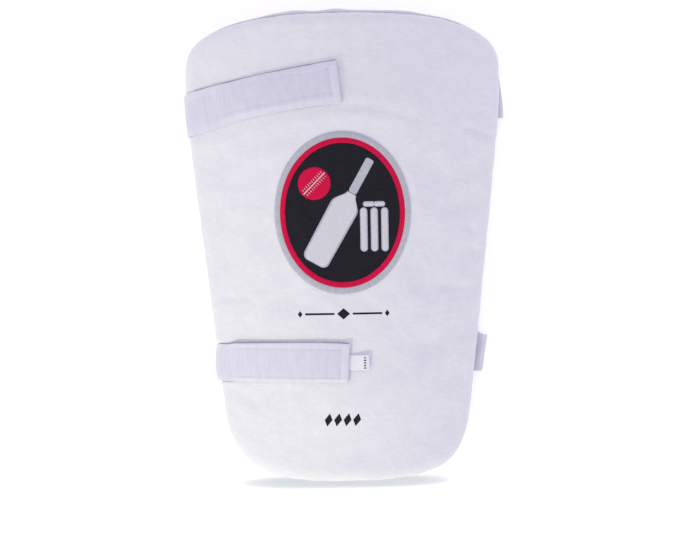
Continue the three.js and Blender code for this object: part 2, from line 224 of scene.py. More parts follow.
def lining_nose(angle):
    """Plan points and height of the lining's round edge, from -90 degrees below to 90 above."""
    radius = LINING_THICKNESS / 2
    ring = inset_ring(LINING_TUCK + radius * (1 - math.cos(angle)))
    ring[:, 1] += (LINING_RIM + LINING_TUCK) * near_waist(ring[:, 1])
    return ring, radius * (1 + math.sin(angle))


NOSE_ANGLES = np.radians(np.linspace(-90, 90, 9))
lowest_edge = min(
    bend(ring[:, 0], ring[:, 1], height)[:, 2].min()
    for ring, height in map(lining_nose, NOSE_ANGLES)
)
FOOT = STRAP_THICKNESS + REST_GAP - lowest_edge


def on_arch(x, y, height):
    """Points of the plan at a height over the back of the arch."""
    return bend(x, y, height) + (0, 0, FOOT)


def face_at(x, y):
    """Height of the pad's face over the back of the arch."""
    from_side = half_width_at(y) - np.abs(x) - ROLL_WIDTH
    from_end = end_sizes(y)[0] - np.abs(y) - ROLL_WIDTH
    swell = ease(from_side / SWELL) * ease(from_end / SWELL)
    return BACK + EDGE_FOAM + (CENTRE_FOAM - EDGE_FOAM) * swell


def across_at(x, y):
    """Distance across the face of a plan x."""
    radius = arch_at(y)[1]
    return (radius + BACK + CENTRE_FOAM) * np.arcsin(np.clip(x / radius, -1, 1))


def on_face(across, y, above):
    """Points above the face, by their distance across it and their y."""
    radius = arch_at(y)[1]
    x = radius * np.sin(across / (radius + BACK + CENTRE_FOAM))
    return on_arch(x, y, face_at(x, y) + above)


def wander(u, v, size, seed):
    """Smooth noise from about -1 to 1 over a plane, with lumps of a size."""
    flat = np.broadcast_arrays(np.asarray(u, float), np.asarray(v, float))
    values = [
        noise.noise(Vector((a / size, b / size, seed)))
        for a, b in zip(flat[0].ravel(), flat[1].ravel())
    ]
    return 2 * np.array(values).reshape(flat[0].shape)


def lumps_at(u, v, lumps):
    """Sum of smooth noises over a plane, each with its height, size and seed."""
    return sum(height * wander(u, v, size, seed) for height, size, seed in lumps)


# Each strap draws in the soft left edge under it: at its upper edge, at its lower edge, and how
# much less between them
DRAWN_IN = {"upper": (0.0009, 0.0009, 0.0), "lower": (0.0031, 0.0018, 0.0016)}
DRAWN_FADE = 0.0022
DRAWN_REACH = 0.020
DRAWN_START = 0.0006


def draw_in(points, start=0.0):
    """Points as the straps draw in the soft left edge, from a distance inside their edges."""
    x, y = points[..., 0], points[..., 1]
    shift = np.zeros(x.shape)
    for name, (above, below, belly) in DRAWN_IN.items():
        strap = STRAPS[name]
        middle = fold_y(strap, 0.0)
        share = np.clip((y - middle) / strap["width"] + 0.5, 0, 1)
        beside = np.abs(y - middle) - strap["width"] / 2 + start
        window = 1 - ease(beside / DRAWN_FADE)
        near = ease((DRAWN_REACH - x - side_at(y)) / DRAWN_REACH)
        drawn = below + (above - below) * share - belly * 4 * share * (1 - share)
        shift = shift + drawn * window * near
    moved = points.copy()
    moved[..., 0] += shift
    return moved


# Meshes

def add_object(name, data):
    """New object in the scene: a piece, the floor, a light or the camera."""
    added = bpy.data.objects.new(name, data)
    bpy.context.scene.collection.objects.link(added)
    return added


def read_rows(items, name, width=3, kind=float):
    """A property of a mesh's elements, one row for each."""
    values = np.empty(len(items) * width, kind)
    items.foreach_get(name, values)
    return values.reshape(-1, width)


def make_piece(name, points, faces, uvs, material, slot, *nodes):
    """Smooth mesh object that rides on the guard and may stand for CAD nodes."""
    mesh = bpy.data.meshes.new(name)
    mesh.from_pydata([tuple(p) for p in points], [], faces)
    mesh.update()
    mesh.shade_smooth()
    corners = read_rows(mesh.loops, "vertex_index", 1, int)[:, 0]
    layer = mesh.uv_layers.new(name="cloth").data
    layer.foreach_set("uv", np.asarray(uvs, float)[corners].ravel())
    mesh.materials.append(material)
    piece = add_object(name, mesh)
    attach(piece, "root")
    if nodes:
        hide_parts(*nodes)
    return piece


def merge(shapes):
    """Several shapes of points, faces and UVs as one."""
    points, faces, uvs = [], [], []
    base = 0
    for shape_points, shape_faces, shape_uvs in shapes:
        points.append(shape_points)
        uvs.append(shape_uvs)
        faces += [tuple(base + v for v in face) for face in shape_faces]
        base += len(shape_points)
    return np.concatenate(points), faces, np.concatenate(uvs)


def ring_faces(rings, count):
    """Faces of rings that run counter-clockwise, closed by a point below and a point above."""
    faces = []
    bottom, top = rings * count, rings * count + 1
    for i in range(count):
        j = (i + 1) % count
        faces.append((bottom, j, i))
        faces.append((top, bottom - count + i, bottom - count + j))
        for k in range(rings - 1):
            low, high = k * count, (k + 1) * count
            faces.append((low + i, low + j, high + j, high + i))
    return faces


def loop_faces(loops, count):
    """Faces of loops of points, each joined to the next and the last to the first."""
    faces = []
    for k in range(loops):
        low, high = k * count, (k + 1) % loops * count
        for i in range(count):
            j = (i + 1) % count
            faces.append((low + i, low + j, high + j, high + i))
    return faces


def tube_faces(stations, around):
    """Faces of closed cross-sections in a row, with a fan of quads over each end."""
    faces = []
    for k in range(stations - 1):
        for i in range(around):
            a, b = k * around + i, k * around + (i + 1) % around
            faces.append((a, a + around, b + around, b))
    last = (stations - 1) * around
    for i in range(around // 2 - 1):
        ends = (i, i + 1, around - 2 - i, around - 1 - i)
        faces += [ends, tuple(last + e for e in reversed(ends))]
    return faces


# Straps

def run_point(strap, back, aside):
    """Place on the face at a distance back from a strap's free end and to one side of it."""
    angle = math.radians(strap["front_angle"])
    return (
        strap["end_x"] - back * math.cos(angle) - aside * math.sin(angle),
        strap["end_y"] - back * math.sin(angle) + aside * math.cos(angle),
    )


def run_place(strap, across, y):
    """How far back from a strap's free end, and to which side of it, a place on the face is."""
    angle = math.radians(strap["front_angle"])
    dx, dy = across - strap["end_x"], y - strap["end_y"]
    back = -dx * math.cos(angle) - dy * math.sin(angle)
    return back, -dx * math.sin(angle) + dy * math.cos(angle)


def back_to_edge(strap, aside, inset):
    """How far back from its free end a strap's line crosses the inset of the left edge."""
    angle = math.radians(strap["front_angle"])
    back = strap["end_x"] + WAIST_HALF
    for _ in range(4):
        y = run_point(strap, back, aside)[1]
        edge = across_at(inset - half_width_at(y), y)
        back = (strap["end_x"] - edge - aside * math.sin(angle)) / math.cos(angle)
    return back


# How much further back a standing upper edge comes down to the cover, and where it rises most
EDGE_RUN = 0.010
TUNNEL_START = 0.072
TUNNEL_RAMP = 0.025


def lift_at(strap, back, share):
    """How far a strap's line is held off the face by the patch under it."""
    level = (strap["patch_width"] + 2 * PATCH_MARGIN) / strap["width"]
    stands = strap["edge_stands"] * (share > 0)
    over_patch = ease((1 + stands - abs(share)) / (1 - level))
    ramp = PATCH_RAMP + EDGE_RUN * max(share, 0) * (stands > 0)
    behind = ease(1 - (back - LEVEL_RUN) / ramp)
    tunnel = strap["tunnel"] * max(share, 0) ** 2 * ease((back - TUNNEL_START) / TUNNEL_RAMP)
    return CLEARANCE + (PATCH_THICKNESS + CLEARANCE) * over_patch * behind + tunnel


def faces_at(middle, direction, y):
    """Both faces of a strap at places of its middle line in the XZ plane."""
    out = as_points(-direction[..., 1], direction[..., 0]) * STRAP_THICKNESS / 2
    return tuple(as_points(p[..., 0], y, p[..., 1]) for p in (middle + out, middle - out))


def bend_between(start, end, count):
    """Smooth bend from one (middle, direction, y) of a strap to another."""
    (p0, d0, y0), (p3, d3, y3) = start, end
    reach = np.linalg.norm(p3 - p0) / 2
    p1, p2 = p0 + d0 * reach, p3 - d3 * reach
    t = np.linspace(0, 1, count + 1)[1:, None]
    s = 1 - t
    middle = s**3 * p0 + 3 * s**2 * t * p1 + 3 * s * t**2 * p2 + t**3 * p3
    slope = s**2 * (p1 - p0) + 2 * s * t * (p2 - p1) + t**2 * (p3 - p2)
    slope /= np.linalg.norm(slope, axis=1, keepdims=True)
    return faces_at(middle, slope, y0 + (y3 - y0) * t[:, 0])


def fold_y(strap, aside):
    """Y at which a line of a strap goes round the left edge."""
    return float(run_point(strap, back_to_edge(strap, aside, 0.0), aside)[1])


def seam_place(strap, aside):
    """Y, half width and turn centre where a line of a strap meets the seam on the right."""
    angle = math.radians(strap["back_angle"])
    centre = fold_y(strap, 0.0)
    rise = (2 * float(half_width_at(centre)) + strap["turn_reach"]) * math.tan(angle)
    share = aside / strap["width"] + 0.5
    raised = strap["turn_drop"] * max(2 * share - 1, 0)
    y = centre + rise + aside / math.cos(angle) + raised
    half = float(half_width_at(y))
    turn = TURN_RADIUS + STRAP_THICKNESS / 2
    low, high = strap["turn_stray"]
    reach = strap["turn_reach"] + low + (high - low) * share
    return y, half, turn, half + reach - STRAP_THICKNESS / 2 - turn


def pocket_point(seam, inset):
    """Place of a strap's middle, in the pocket under the pad's edge."""
    y, half = seam[:2]
    place = on_arch(half - inset, y, BACK + STRAP_THICKNESS / 2)
    lean = (half - inset) / float(arch_at(y)[1])
    return np.array([place[0], place[2]]), np.array([-math.sqrt(1 - lean**2), lean]), y


ROLL_TURN = np.linspace(1, 0, 13)[1:] * math.pi / 2
FRONT_STEP = 0.0009
BEND_STEPS = 14


def roll_point(angle, out):
    """Inset and height of the pad's upper roll, let out by a distance."""
    inset = ROLL_WIDTH - (ROLL_WIDTH + out) * np.cos(angle)
    height = BACK + SEAM_HEIGHT + (EDGE_FOAM - SEAM_HEIGHT + out) * np.sin(angle)
    return inset, height


def strap_line(strap, share, ends):
    """Inner and outer points of one line of a strap, from its free end round to its sewn end."""
    aside = share * strap["width"] / 2
    to_roll = float(back_to_edge(strap, aside, ROLL_WIDTH))
    backs = np.concatenate([
        ends,
        np.linspace(ends[-1], LEVEL_RUN, round((LEVEL_RUN - ends[-1]) / FRONT_STEP))[1:],
        np.linspace(LEVEL_RUN, to_roll, 16)[1:],
    ])
    across, y = run_point(strap, backs, aside)
    lift = lift_at(strap, backs, share)
    parts = [(on_face(across, y, lift), on_face(across, y, lift + STRAP_THICKNESS))]

    top_y = float(run_point(strap, to_roll, strap["width"] / 2)[1])
    edge_y = fold_y(strap, aside)
    stand_off = (1 - strap["hugs"]) * float(half_width_at(top_y) - half_width_at(edge_y))

    still_up = (lift[-1] - CLEARANCE) * ease(ROLL_TURN / (math.pi / 2))

    def over(out):
        inset, height = roll_point(ROLL_TURN, out + still_up)
        y = run_point(strap, back_to_edge(strap, aside, inset), aside)[1]
        points = on_arch(inset - half_width_at(y), y, height)
        points[:, 0] -= stand_off * np.linspace(0, 1, len(ROLL_TURN) + 1)[1:]
        return points

    parts.append((over(CLEARANCE), over(CLEARANCE + STRAP_THICKNESS)))

    inner, outer = parts[-1][0][-1], parts[-1][1][-1]
    side = unit((outer - inner)[[0, 2]])
    leave = ((inner + outer)[[0, 2]] / 2, np.array([-side[1], side[0]]), inner[1])
    seam = seam_place(strap, aside)
    land_y = fold_y(strap, 0.0) + aside / math.cos(math.radians(strap["back_angle"]))
    land_x = TUCK_RUN - float(half_width_at(edge_y)) - stand_off
    level = np.array([1.0, 0.0])
    land = (np.array([land_x, STRAP_THICKNESS / 2]), level, land_y)
    parts.append(bend_between(leave, land, BEND_STEPS))

    t = np.linspace(0, 1, 100)[1:]
    middle = as_points(land_x + (seam[3] - land_x) * t, STRAP_THICKNESS / 2)
    turn_y = seam[0] - strap["turn_drop"] * max(share, 0)
    parts.append(faces_at(middle, np.tile(level, (len(t), 1)), land_y + (turn_y - land_y) * t))

    angle = np.linspace(-90, 90, 15)[1:] * math.pi / 180
    out = as_points(np.cos(angle), np.sin(angle))
    centre = np.array([seam[3], STRAP_THICKNESS / 2 + seam[2]])
    parts.append(faces_at(centre + out * seam[2], as_points(-out[:, 1], out[:, 0]), turn_y))

    top = (centre + (0, seam[2]), -level, turn_y)
    parts.append(bend_between(top, pocket_point(seam, 0), BEND_STEPS))
    sewn = [pocket_point(seam, inset) for inset in np.linspace(0, POCKET_DEPTH - CLEARANCE, 5)[1:]]
    middle, direction, _ = (np.array(column) for column in zip(*sewn))
    parts.append(faces_at(middle, direction, seam[0]))
    return tuple(np.concatenate([part[i] for part in parts]) for i in (0, 1))


# Where stitches run on each strap: (back, aside) of the box's corners, how deep and how far to
# each side they pull the webbing in, and how long and how thick the turned end is
STITCH_BOXES = {
    "upper": dict(
        left_top=(0.1015, 0.0125), right_top=(0.0075, 0.0112),
        right_bottom=(0.0068, -0.0080), left_bottom=(0.1020, -0.0080),
    ),
    "lower": dict(
        left_top=(0.1045, 0.0112), right_top=(0.0062, 0.0098),
        right_bottom=(0.0066, -0.0108), left_bottom=(0.1045, -0.0110),
    ),
}
STITCH_DIP = 0.0003
STITCH_PULL = 0.0009
TURNED_END = 0.0048
TURNED_RISE = 0.0004


def off_segment(back, aside, a, b):
    """Distance of places from the segment between two of them."""
    line = np.subtract(b, a)
    share = np.clip(((back - a[0]) * line[0] + (aside - a[1]) * line[1]) / (line @ line), 0, 1)
    return np.hypot(back - a[0] - share * line[0], aside - a[1] - share * line[1])


def strap_relief(name, back, aside):
    """How far the face of a strap's free run stands out: its turned end, dips along stitches."""
    box = list(STITCH_BOXES[name].values())
    seed = len(name) + ord(name[0])
    out = 0.00012 * wander(back, aside, 0.011, seed)
    for a, b in zip(box, box[1:] + box[:1]):
        out = out - STITCH_DIP * np.exp(-(off_segment(back, aside, a, b) / STITCH_PULL) ** 2)
    return out + TURNED_RISE * ease((TURNED_END - back) / STITCH_PULL)


# How the edges of each free run stray from straight: how far the upper and lower one bow up
# half way along, and how far the lower one drops at the free end
BOW_REACH = 0.112
BOWS = {"upper": (0.0, 0.0020, 0.0012), "lower": (0.0013, 0.0, 0.0009)}


def stray_at(name, back, share):
    """Shift in x and y of a strap's free run, whose edges and end aren't quite straight."""
    above, below, drop = BOWS[name]
    along = np.clip(back / BOW_REACH, 0, 1)
    bow = 1 - (2 * along - 1) ** 4
    up = np.maximum(share, 0) * above * bow
    up = up + np.maximum(-share, 0) * (below * bow - drop * (1 - along) ** 2)
    short = STRAPS[name]["slant"] * (1 - share) / 2 * ease(1 - back / 0.02)
    return as_points(-short, up)


def strap_top(name, back, aside, above=0.0):
    """Points above the free run of a strap."""
    strap = STRAPS[name]
    share = aside / (strap["width"] / 2)
    across, y = run_point(strap, back, aside)
    out = lift_at(strap, back, share) + STRAP_THICKNESS + strap_relief(name, back, aside) + above
    point = on_face(across, y, out)
    point[..., :2] += stray_at(name, back, share)
    return draw_in(point)


# Where the relief of the free run fades out, and how much the webbing's edges wave
RELIEF_END = LEVEL_RUN + 0.012
RELIEF_FADE = 0.01
EDGE_WAVE = 0.0002


def make_strap(name, material):
    """Elastic webbing with round edges, from its turned free end to its sewn end."""
    strap = STRAPS[name]
    half = strap["width"] / 2
    nose = STRAP_THICKNESS / 2 / half
    flat = np.linspace(-1 + nose, 1 - nose, 41)
    turn = np.radians([67.5, 45, 22.5, 0, -22.5, -45, -67.5])
    right = [(1 - nose + nose * math.cos(a), math.sin(a)) for a in turn]
    profile = [(s, 1.0) for s in flat] + right + [(s, -1.0) for s in flat[::-1]]
    profile += [(-s, -f) for s, f in right]
    cap = np.radians([0, 22.5, 45, 67.5, 90])
    ends = STRAP_THICKNESS / 2 * (1 - np.cos(cap))
    lines = {s: strap_line(strap, s, ends) for s in {s for s, _ in profile}}
    stations = len(lines[flat[0]][0])
    thick = np.ones(stations)
    thick[:len(cap)] = np.maximum(np.sin(cap), 0.04)

    columns, uvs = [], []
    for share, out in profile:
        inner, outer = lines[share]
        normal = (outer - inner) / STRAP_THICKNESS
        middle = (inner + outer) / 2
        run = run_along(middle)
        aside = share * half
        points = middle + normal * (out * thick * STRAP_THICKNESS / 2)[:, None]
        fade = ease((RELIEF_END - run) / RELIEF_FADE)
        if out > 0:
            points += normal * (strap_relief(name, run, aside) * fade * out)[:, None]
        points[:, 1] += EDGE_WAVE * share**3 * wander(run, share * 0.02, 0.016, 3 + ord(name[0]))
        points[:, :2] += stray_at(name, run, share)
        columns.append(draw_in(points))
        uvs.append(as_points(run, aside + out * 0.0006))
    points = np.stack(columns, 1).reshape(-1, 3)
    uvs = np.stack(uvs, 1).reshape(-1, 2)
    faces = tube_faces(stations, len(profile))
    return make_piece(
        f"{name}_strap_webbing", points, faces, uvs, material, "elastic", f"{name}_strap"
    )


# Dark cord under each strap's upper edge: painted shade, standing in for the shadow gap between the
# edge and the cover
CORD_RADIUS = 0.00035


def make_edge_shadow_cord(name, material):
    """Thin cord along the underside of a strap's upper edge, over its free run, its dark colour
    painted shade for the gap under the edge.
    """
    strap = STRAPS[name]
    half = strap["width"] / 2
    backs = np.linspace(0.0006, float(back_to_edge(strap, half, ROLL_WIDTH)), 120)
    middle = strap_top(name, backs, half, -0.72 * STRAP_THICKNESS) + (0, CORD_RADIUS * 0.8, 0)
    angle = full_turn(8)
    ring = as_points(0.0, np.cos(angle), np.sin(angle)) * CORD_RADIUS
    points = (middle[:, None] + ring).reshape(-1, 3)
    uvs = as_points(backs[:, None], angle * CORD_RADIUS).reshape(-1, 2)
    faces = [tuple(reversed(face)) for face in tube_faces(len(backs), len(angle))]
    return make_piece(f"{name}_strap_edge_cord", points, faces, uvs, material, "elastic")


# Stitches

STITCH_LENGTH = 0.0024
STITCH_GAP = 0.0008
THREAD = 0.00022
STITCH_SIDES = 6
TACKS = 4
TACK_LENGTH = 0.0021
TACK_SLANT = 0.0003
TACK_PITCH = 0.0004
# Shape of a stitch, which dives in at both ends: share along it, swell and sink there
STITCH_SHAPE = ((0, 0.35, 1.2), (0.14, 0.85, 0.35), (0.5, 1, 0), (0.86, 0.85, 0.35), (1, 0.35, 1.2))


def thread_points(start, end, up, radius):
    """Rings of points of one short stitch."""
    along = end - start
    side = unit(np.cross(up, along))
    angle = full_turn(STITCH_SIDES)
    ring = np.cos(angle)[:, None] * side + np.sin(angle)[:, None] * up
    return np.concatenate([
        start + along * share - up * radius * sink + ring * radius * swell
        for share, swell, sink in STITCH_SHAPE
    ])


def make_stitches(name, stitches, material, slot, radius=THREAD):
    """Stitches from (start, end, up) triples."""
    rings = len(STITCH_SHAPE)
    faces = tube_faces(rings, STITCH_SIDES)
    uvs = as_points(np.tile(np.arange(STITCH_SIDES) / STITCH_SIDES, rings), 0.0)
    shapes = [(thread_points(*stitch, radius), faces, uvs) for stitch in stitches]
    return make_piece(name, *merge(shapes), material, slot)


def strap_stitches(name):
    """Stitches of the box over a strap's patch, with a tack where the sewing ends."""
    box = STITCH_BOXES[name]
    corners = list(box.values())
    places = []
    pitch = STITCH_LENGTH + STITCH_GAP
    for a, b in zip(corners, corners[1:] + corners[:1]):
        a, b = np.array(a), np.array(b)
        count = round(np.linalg.norm(b - a) / pitch)
        for i in range(count):
            start = a + (b - a) * (i / count)
            places.append((start, start + (b - a) / count * STITCH_LENGTH / pitch))
    for corner in ("right_bottom", "right_top"):
        for i in range(TACKS):
            start = box[corner] + np.array((0.0001 * i, TACK_PITCH * (i - (TACKS - 1) / 2)))
            places.append((start, start + (TACK_LENGTH, TACK_SLANT * (-1) ** i)))
    stitches = []
    for start, end in places:
        p, q = (strap_top(name, *place, THREAD * 0.3) for place in (start, end))
        middle = (start + end) / 2
        up = strap_top(name, *middle, 0.001) - strap_top(name, *middle)
        stitches.append((p, q, unit(up)))
    return stitches


# Cover

def free_of(distance, margin, fade):
    """0 up to a margin from something, 1 past a fade from there."""
    return ease((distance - margin) / fade)


def free_at(x, y, fade=0.009):
    """1 where nothing lies on the cover, 0 under the straps, badge and tag."""
    across = across_at(x, y)
    free = np.ones(np.broadcast(x, y).shape)
    lying = [(strap, strap["width"], 0, 0.001, fade) for strap in STRAPS.values()]
    lying.append((STRAPS["lower"], TAG_WIDTH, TAG_SHOWN, 0.0005, 0.004))
    for strap, width, past, margin, soft in lying:
        back, aside = run_place(strap, across, y)
        beside = np.maximum(np.abs(aside) - width / 2, 0)
        free = free * free_of(np.hypot(np.maximum(-back - past, 0), beside), margin, soft)
    out = np.hypot((across - BADGE_X) / BADGE_HALF_WIDTH, (y - BADGE_Y) / BADGE_HALF_HEIGHT) - 1
    return free * free_of(out * BADGE_HALF_WIDTH, 0.0008, 0.006)


# Soft folds of the cover: points of the plan, depth (a ridge where negative) and width
FOLDS = [
    (
        [(-0.050, 0.1035), (-0.025, 0.1085), (0.005, 0.1085), (0.028, 0.1045), (0.050, 0.0985)],
        0.0011, 0.0038,
    ),
    ([(-0.045, 0.0960), (-0.015, 0.1015), (0.012, 0.1010), (0.040, 0.0950)], -0.0006, 0.007),
    ([(0.092, 0.0905), (0.104, 0.0865), (0.1165, 0.0815)], 0.0009, 0.003),
    ([(0.095, 0.0845), (0.108, 0.0805), (0.1175, 0.0755)], -0.0006, 0.004),
    ([(-0.092, -0.1125), (-0.080, -0.1165), (-0.067, -0.1235)], 0.0007, 0.0035),
    ([(-0.085, 0.016), (-0.092, -0.010), (-0.089, -0.040)], 0.0004, 0.012),
    ([(0.078, 0.045), (0.090, 0.010), (0.087, -0.035)], 0.0004, 0.014),
    ([(0.030, -0.070), (0.055, -0.078), (0.078, -0.074)], 0.0005, 0.010),
    ([(-0.104, -0.0402), (-0.088, -0.0408), (-0.070, -0.0415)], 0.0009, 0.0028),
    ([(0.070, -0.0342), (0.088, -0.0344), (0.106, -0.0335)], 0.0008, 0.0025),
    ([(0.092, 0.0125), (0.096, 0.0095)], 0.0009, 0.0032),
    ([(0.096, -0.0070), (0.101, -0.0100)], 0.0009, 0.0032),
]


def folds_at(x, y):
    """Depth of the soft folds of the cover, in and out."""
    total = np.zeros(np.broadcast(x, y).shape)
    for path, depth, width in FOLDS:
        nearest = np.full(total.shape, np.inf)
        for a, b in zip(path, path[1:]):
            nearest = np.minimum(nearest, off_segment(x, y, a, b))
        total -= depth * np.exp(-((nearest / width) ** 2))
    return total


# The cloth simulation: its mesh, how long it runs, a slack cloth under a little pressure, and how
# high its wrinkles are then made
SIM_VOXEL = 0.005
SIM_FRAMES = 20
CLOTH = dict(
    quality=5, mass=0.15, tension_stiffness=12, compression_stiffness=12, shear_stiffness=4,
    bending_stiffness=0.15, vertex_group_mass="held", shrink_min=-0.035, use_pressure=True,
    uniform_pressure_force=4,
)
WRINKLE = 0.0005
WRINKLE_CAP = 0.0011


def average_over(values, edges, passes):
    """Values smoothed over a mesh's edges."""
    ties = np.bincount(edges.ravel(), minlength=len(values))
    for _ in range(passes):
        total = np.bincount(edges[:, 0], values[edges[:, 1]], len(values))
        total += np.bincount(edges[:, 1], values[edges[:, 0]], len(values))
        values = (values + total) / (1 + ties)
    return values


def simulate_cloth(smooth):
    """Wrinkles of a slack cloth, sewn at the seam and held down by the straps and the badge."""
    sim = add_object("cloth_trial", smooth)
    remesh = sim.modifiers.new("remesh", "REMESH")
    remesh.mode = "VOXEL"
    remesh.voxel_size = SIM_VOXEL
    remeshed = sim.evaluated_get(bpy.context.evaluated_depsgraph_get())
    whole = bpy.data.meshes.new_from_object(remeshed)
    sim.modifiers.clear()
    sim.data = whole
    start = read_rows(whole.vertices, "co")
    normals = read_rows(whole.vertices, "normal")
    free = free_at(*start[:, :2].T) * ease((normals[:, 2] - 0.2) / 0.3)
    held = sim.vertex_groups.new(name="held")
    for i, hold in enumerate(1 - free):
        held.add([i], float(hold), "REPLACE")

    cloth = sim.modifiers.new("cloth", "CLOTH").settings
    for key, value in CLOTH.items():
        setattr(cloth, key, value)
    cloth.effector_weights.gravity = 0
    for number in range(1, SIM_FRAMES + 1):
        bpy.context.scene.frame_set(number)
    blown = sim.evaluated_get(bpy.context.evaluated_depsgraph_get()).to_mesh()
    end = read_rows(blown.vertices, "co")
    bpy.context.scene.frame_set(1)

    edges = read_rows(whole.edges, "vertices", 2, int)
    out = ((end - start) * normals).sum(1)
    wrinkles = average_over(out, edges, 2) - average_over(out, edges, 60)
    wrinkles *= WRINKLE / wrinkles[free > 0.5].std()
    wrinkles = WRINKLE_CAP * np.tanh(wrinkles / WRINKLE_CAP)
    whole.calc_loop_triangles()
    triangles = [tuple(t.vertices) for t in whole.loop_triangles]
    tree = BVHTree.FromPolygons([Vector(p) for p in start], triangles)
    bpy.data.objects.remove(sim)

    def wrinkle_at(x, y):
        values = []
        for point in on_arch(x, y, face_at(x, y)).reshape(-1, 3):
            where, _, face, _ = tree.find_nearest(Vector(point))
            corners = triangles[face]
            shares = poly_3d_calc([Vector(start[c]) for c in corners], where)
            values.append(sum(s * wrinkles[c] for s, c in zip(shares, corners)))
        return np.array(values).reshape(np.broadcast(x, y).shape)

    return wrinkle_at


# Lumps of the cover, puckers along its seam and lumps of the lining: height, size and seed
COVER_LUMPS = ((0.0005, 0.042, 1.7), (0.00022, 0.013, 5.1))
PUCKERS = ((1, 0.0062, 2.3), (0.7, 0.015, 8.9))
PUCKER_HEIGHT = 0.00022
LINING_LUMPS = ((0.00022, 0.03, 11.0), (0.0001, 0.012, 12.0))


def relief_at(x, y, wrinkle_at):
    """How far the cover stands off the moulded face: lumps, folds and wrinkles."""
    lumps = lumps_at(x, y, COVER_LUMPS) + wrinkle_at(x, y) + CLEARANCE
    return free_at(x, y) * lumps + free_at(x, y, 0.003) * folds_at(x, y)


def pucker_at(run, x, y):
    """Small pulls of the cloth along the seam."""
    return PUCKER_HEIGHT * lumps_at(run, 0.0, PUCKERS) * (0.3 + 0.7 * free_at(x, y))


# How much wider and deeper than a strap's end its pocket is, and how its walls fade out
POCKET_MARGIN = 0.0045
POCKET_FADE = 0.003
POCKET_SPARE = 0.004
POCKET_END_FADE = 0.002


def pocket_lift(x, y):
    """How far the pad's underside rises over the sewn ends of the straps."""
    lift = np.zeros(np.broadcast(x, y).shape)
    for strap in STRAPS.values():
        middle = seam_place(strap, 0.0)[0]
        window = ease((strap["width"] / 2 + POCKET_MARGIN - np.abs(y - middle)) / POCKET_FADE)
        deep = ease((x - half_width_at(y) + POCKET_DEPTH + POCKET_SPARE) / POCKET_END_FADE)
        lift = np.maximum(lift, (STRAP_THICKNESS + 2 * CLEARANCE) * window * deep)
    return lift


def finish_rings(levels, start, low, high, let_out=False):
    """Points, faces and UVs of (plan ring, height over the arch) levels, closed at both ends.

    The cloth lies flat across the face from level start on, and goes outwards before it.
    """
    points = [on_arch(*ring.T, height) for ring, height in levels]
    points += [on_arch(0.0, 0.0, height)[None] for height in (low, high)]
    points = draw_in(np.concatenate(points), DRAWN_START)
    if let_out:
        points = fill_corner(points)
    grid = points[:-2].reshape(len(levels), SECTORS, 3)
    uvs = np.empty((len(levels), SECTORS, 2))
    for k in range(start, len(levels)):
        x, y = levels[k][0].T
        uvs[k] = as_points(across_at(x, y), y)
    for k in range(start - 1, -1, -1):
        step = np.linalg.norm(grid[k] - grid[k + 1], axis=1)[:, None]
        uvs[k] = uvs[k + 1] + OUTWARD * step
    uvs = np.concatenate([uvs.reshape(-1, 2), [(0, 0), (0, 0)]])
    return points, ring_faces(len(levels), SECTORS), uvs


# The cover's rings over its face, and the insets of those near the edge of its underside
FACE_RINGS = 80
UNDER_INSETS = (0.019, 0.0165, 0.014, 0.0115, 0.009, 0.006)
# The cover's fuller corner at the knee end: its middle, its reach and how far it stands out
FULL_CORNER = (0.079, -0.172)
FULL_REACH = 0.022
FULL_OUT = (0.0014, -0.0022)


def fill_corner(points):
    """Points with the cover's right corner at the knee end let out."""
    off = np.hypot(points[:, 0] - FULL_CORNER[0], points[:, 1] - FULL_CORNER[1])
    moved = points.copy()
    moved[:, :2] += np.exp(-((off / FULL_REACH) ** 2))[:, None] * FULL_OUT
    return moved


def cover_shape(wrinkle_at):
    """Points, faces and UVs of the cover, from its underside round the seam and over its face."""
    core = inset_ring(ROLL_WIDTH)
    levels = [(core * share, BACK) for share in np.linspace(0.05, 0.85, 14)]
    for inset in UNDER_INSETS:
        ring = inset_ring(inset)
        levels.append((ring, BACK + pocket_lift(*ring.T)))
    lift = pocket_lift(*OUTLINE.T)
    pucker = pucker_at(OUTLINE_RUN, *core.T)
    for angle in np.radians(np.linspace(0, 90, 7)[:-1]):
        inset = SEAM_WIDTH * (1 - math.sin(angle)) - pucker * math.sin(angle)
        rise = 1 - math.cos(angle)
        height = BACK + SEAM_HEIGHT * rise + lift * (1 - rise)
        levels.append((inset_ring(inset[:, None]), height))
    relief = relief_at(*core.T, wrinkle_at)
    for angle in np.radians(np.linspace(0, 90, 15)[:-1]):
        fade = math.cos(angle) ** 1.5
        inset, height = roll_point(angle, pucker * fade + relief * (1 - fade))
        levels.append((inset_ring(inset[:, None]), height))
    start = len(levels)
    for share in np.linspace(1, 0, FACE_RINGS)[:-1]:
        x, y = (core * share).T
        levels.append((core * share, face_at(x, y) + relief_at(x, y, wrinkle_at)))
    return finish_rings(levels, start, BACK, float(face_at(0.0, 0.0)), let_out=True)


def make_cover(material):
    """The sewn cover over the moulded pad, wrinkled as a simulated cloth says."""

    def wrinkle_at(x, y):
        return np.zeros(np.broadcast(x, y).shape)

    smooth = bpy.data.meshes.new("smooth_cover")
    points, faces, _ = cover_shape(wrinkle_at)
    smooth.from_pydata([tuple(p) for p in points], [], faces)
    wrinkle_at = simulate_cloth(smooth)
    shape = cover_shape(wrinkle_at)
    return make_piece("pad_cover", *shape, material, "cover_cloth", "front_pad")


# Lining

# Humps of the lining's rim at the waist end: where, how high and how long
RIM_HUMPS = (-0.0365, -0.0040)
RIM_HUMP_RISE = 0.0011
RIM_HUMP_REACH = 0.010
RIM_LUMPS = ((0.0004, 0.021, 6.6),)
RIM_LEAST = 0.0012
LINING_MARGIN = 0.006


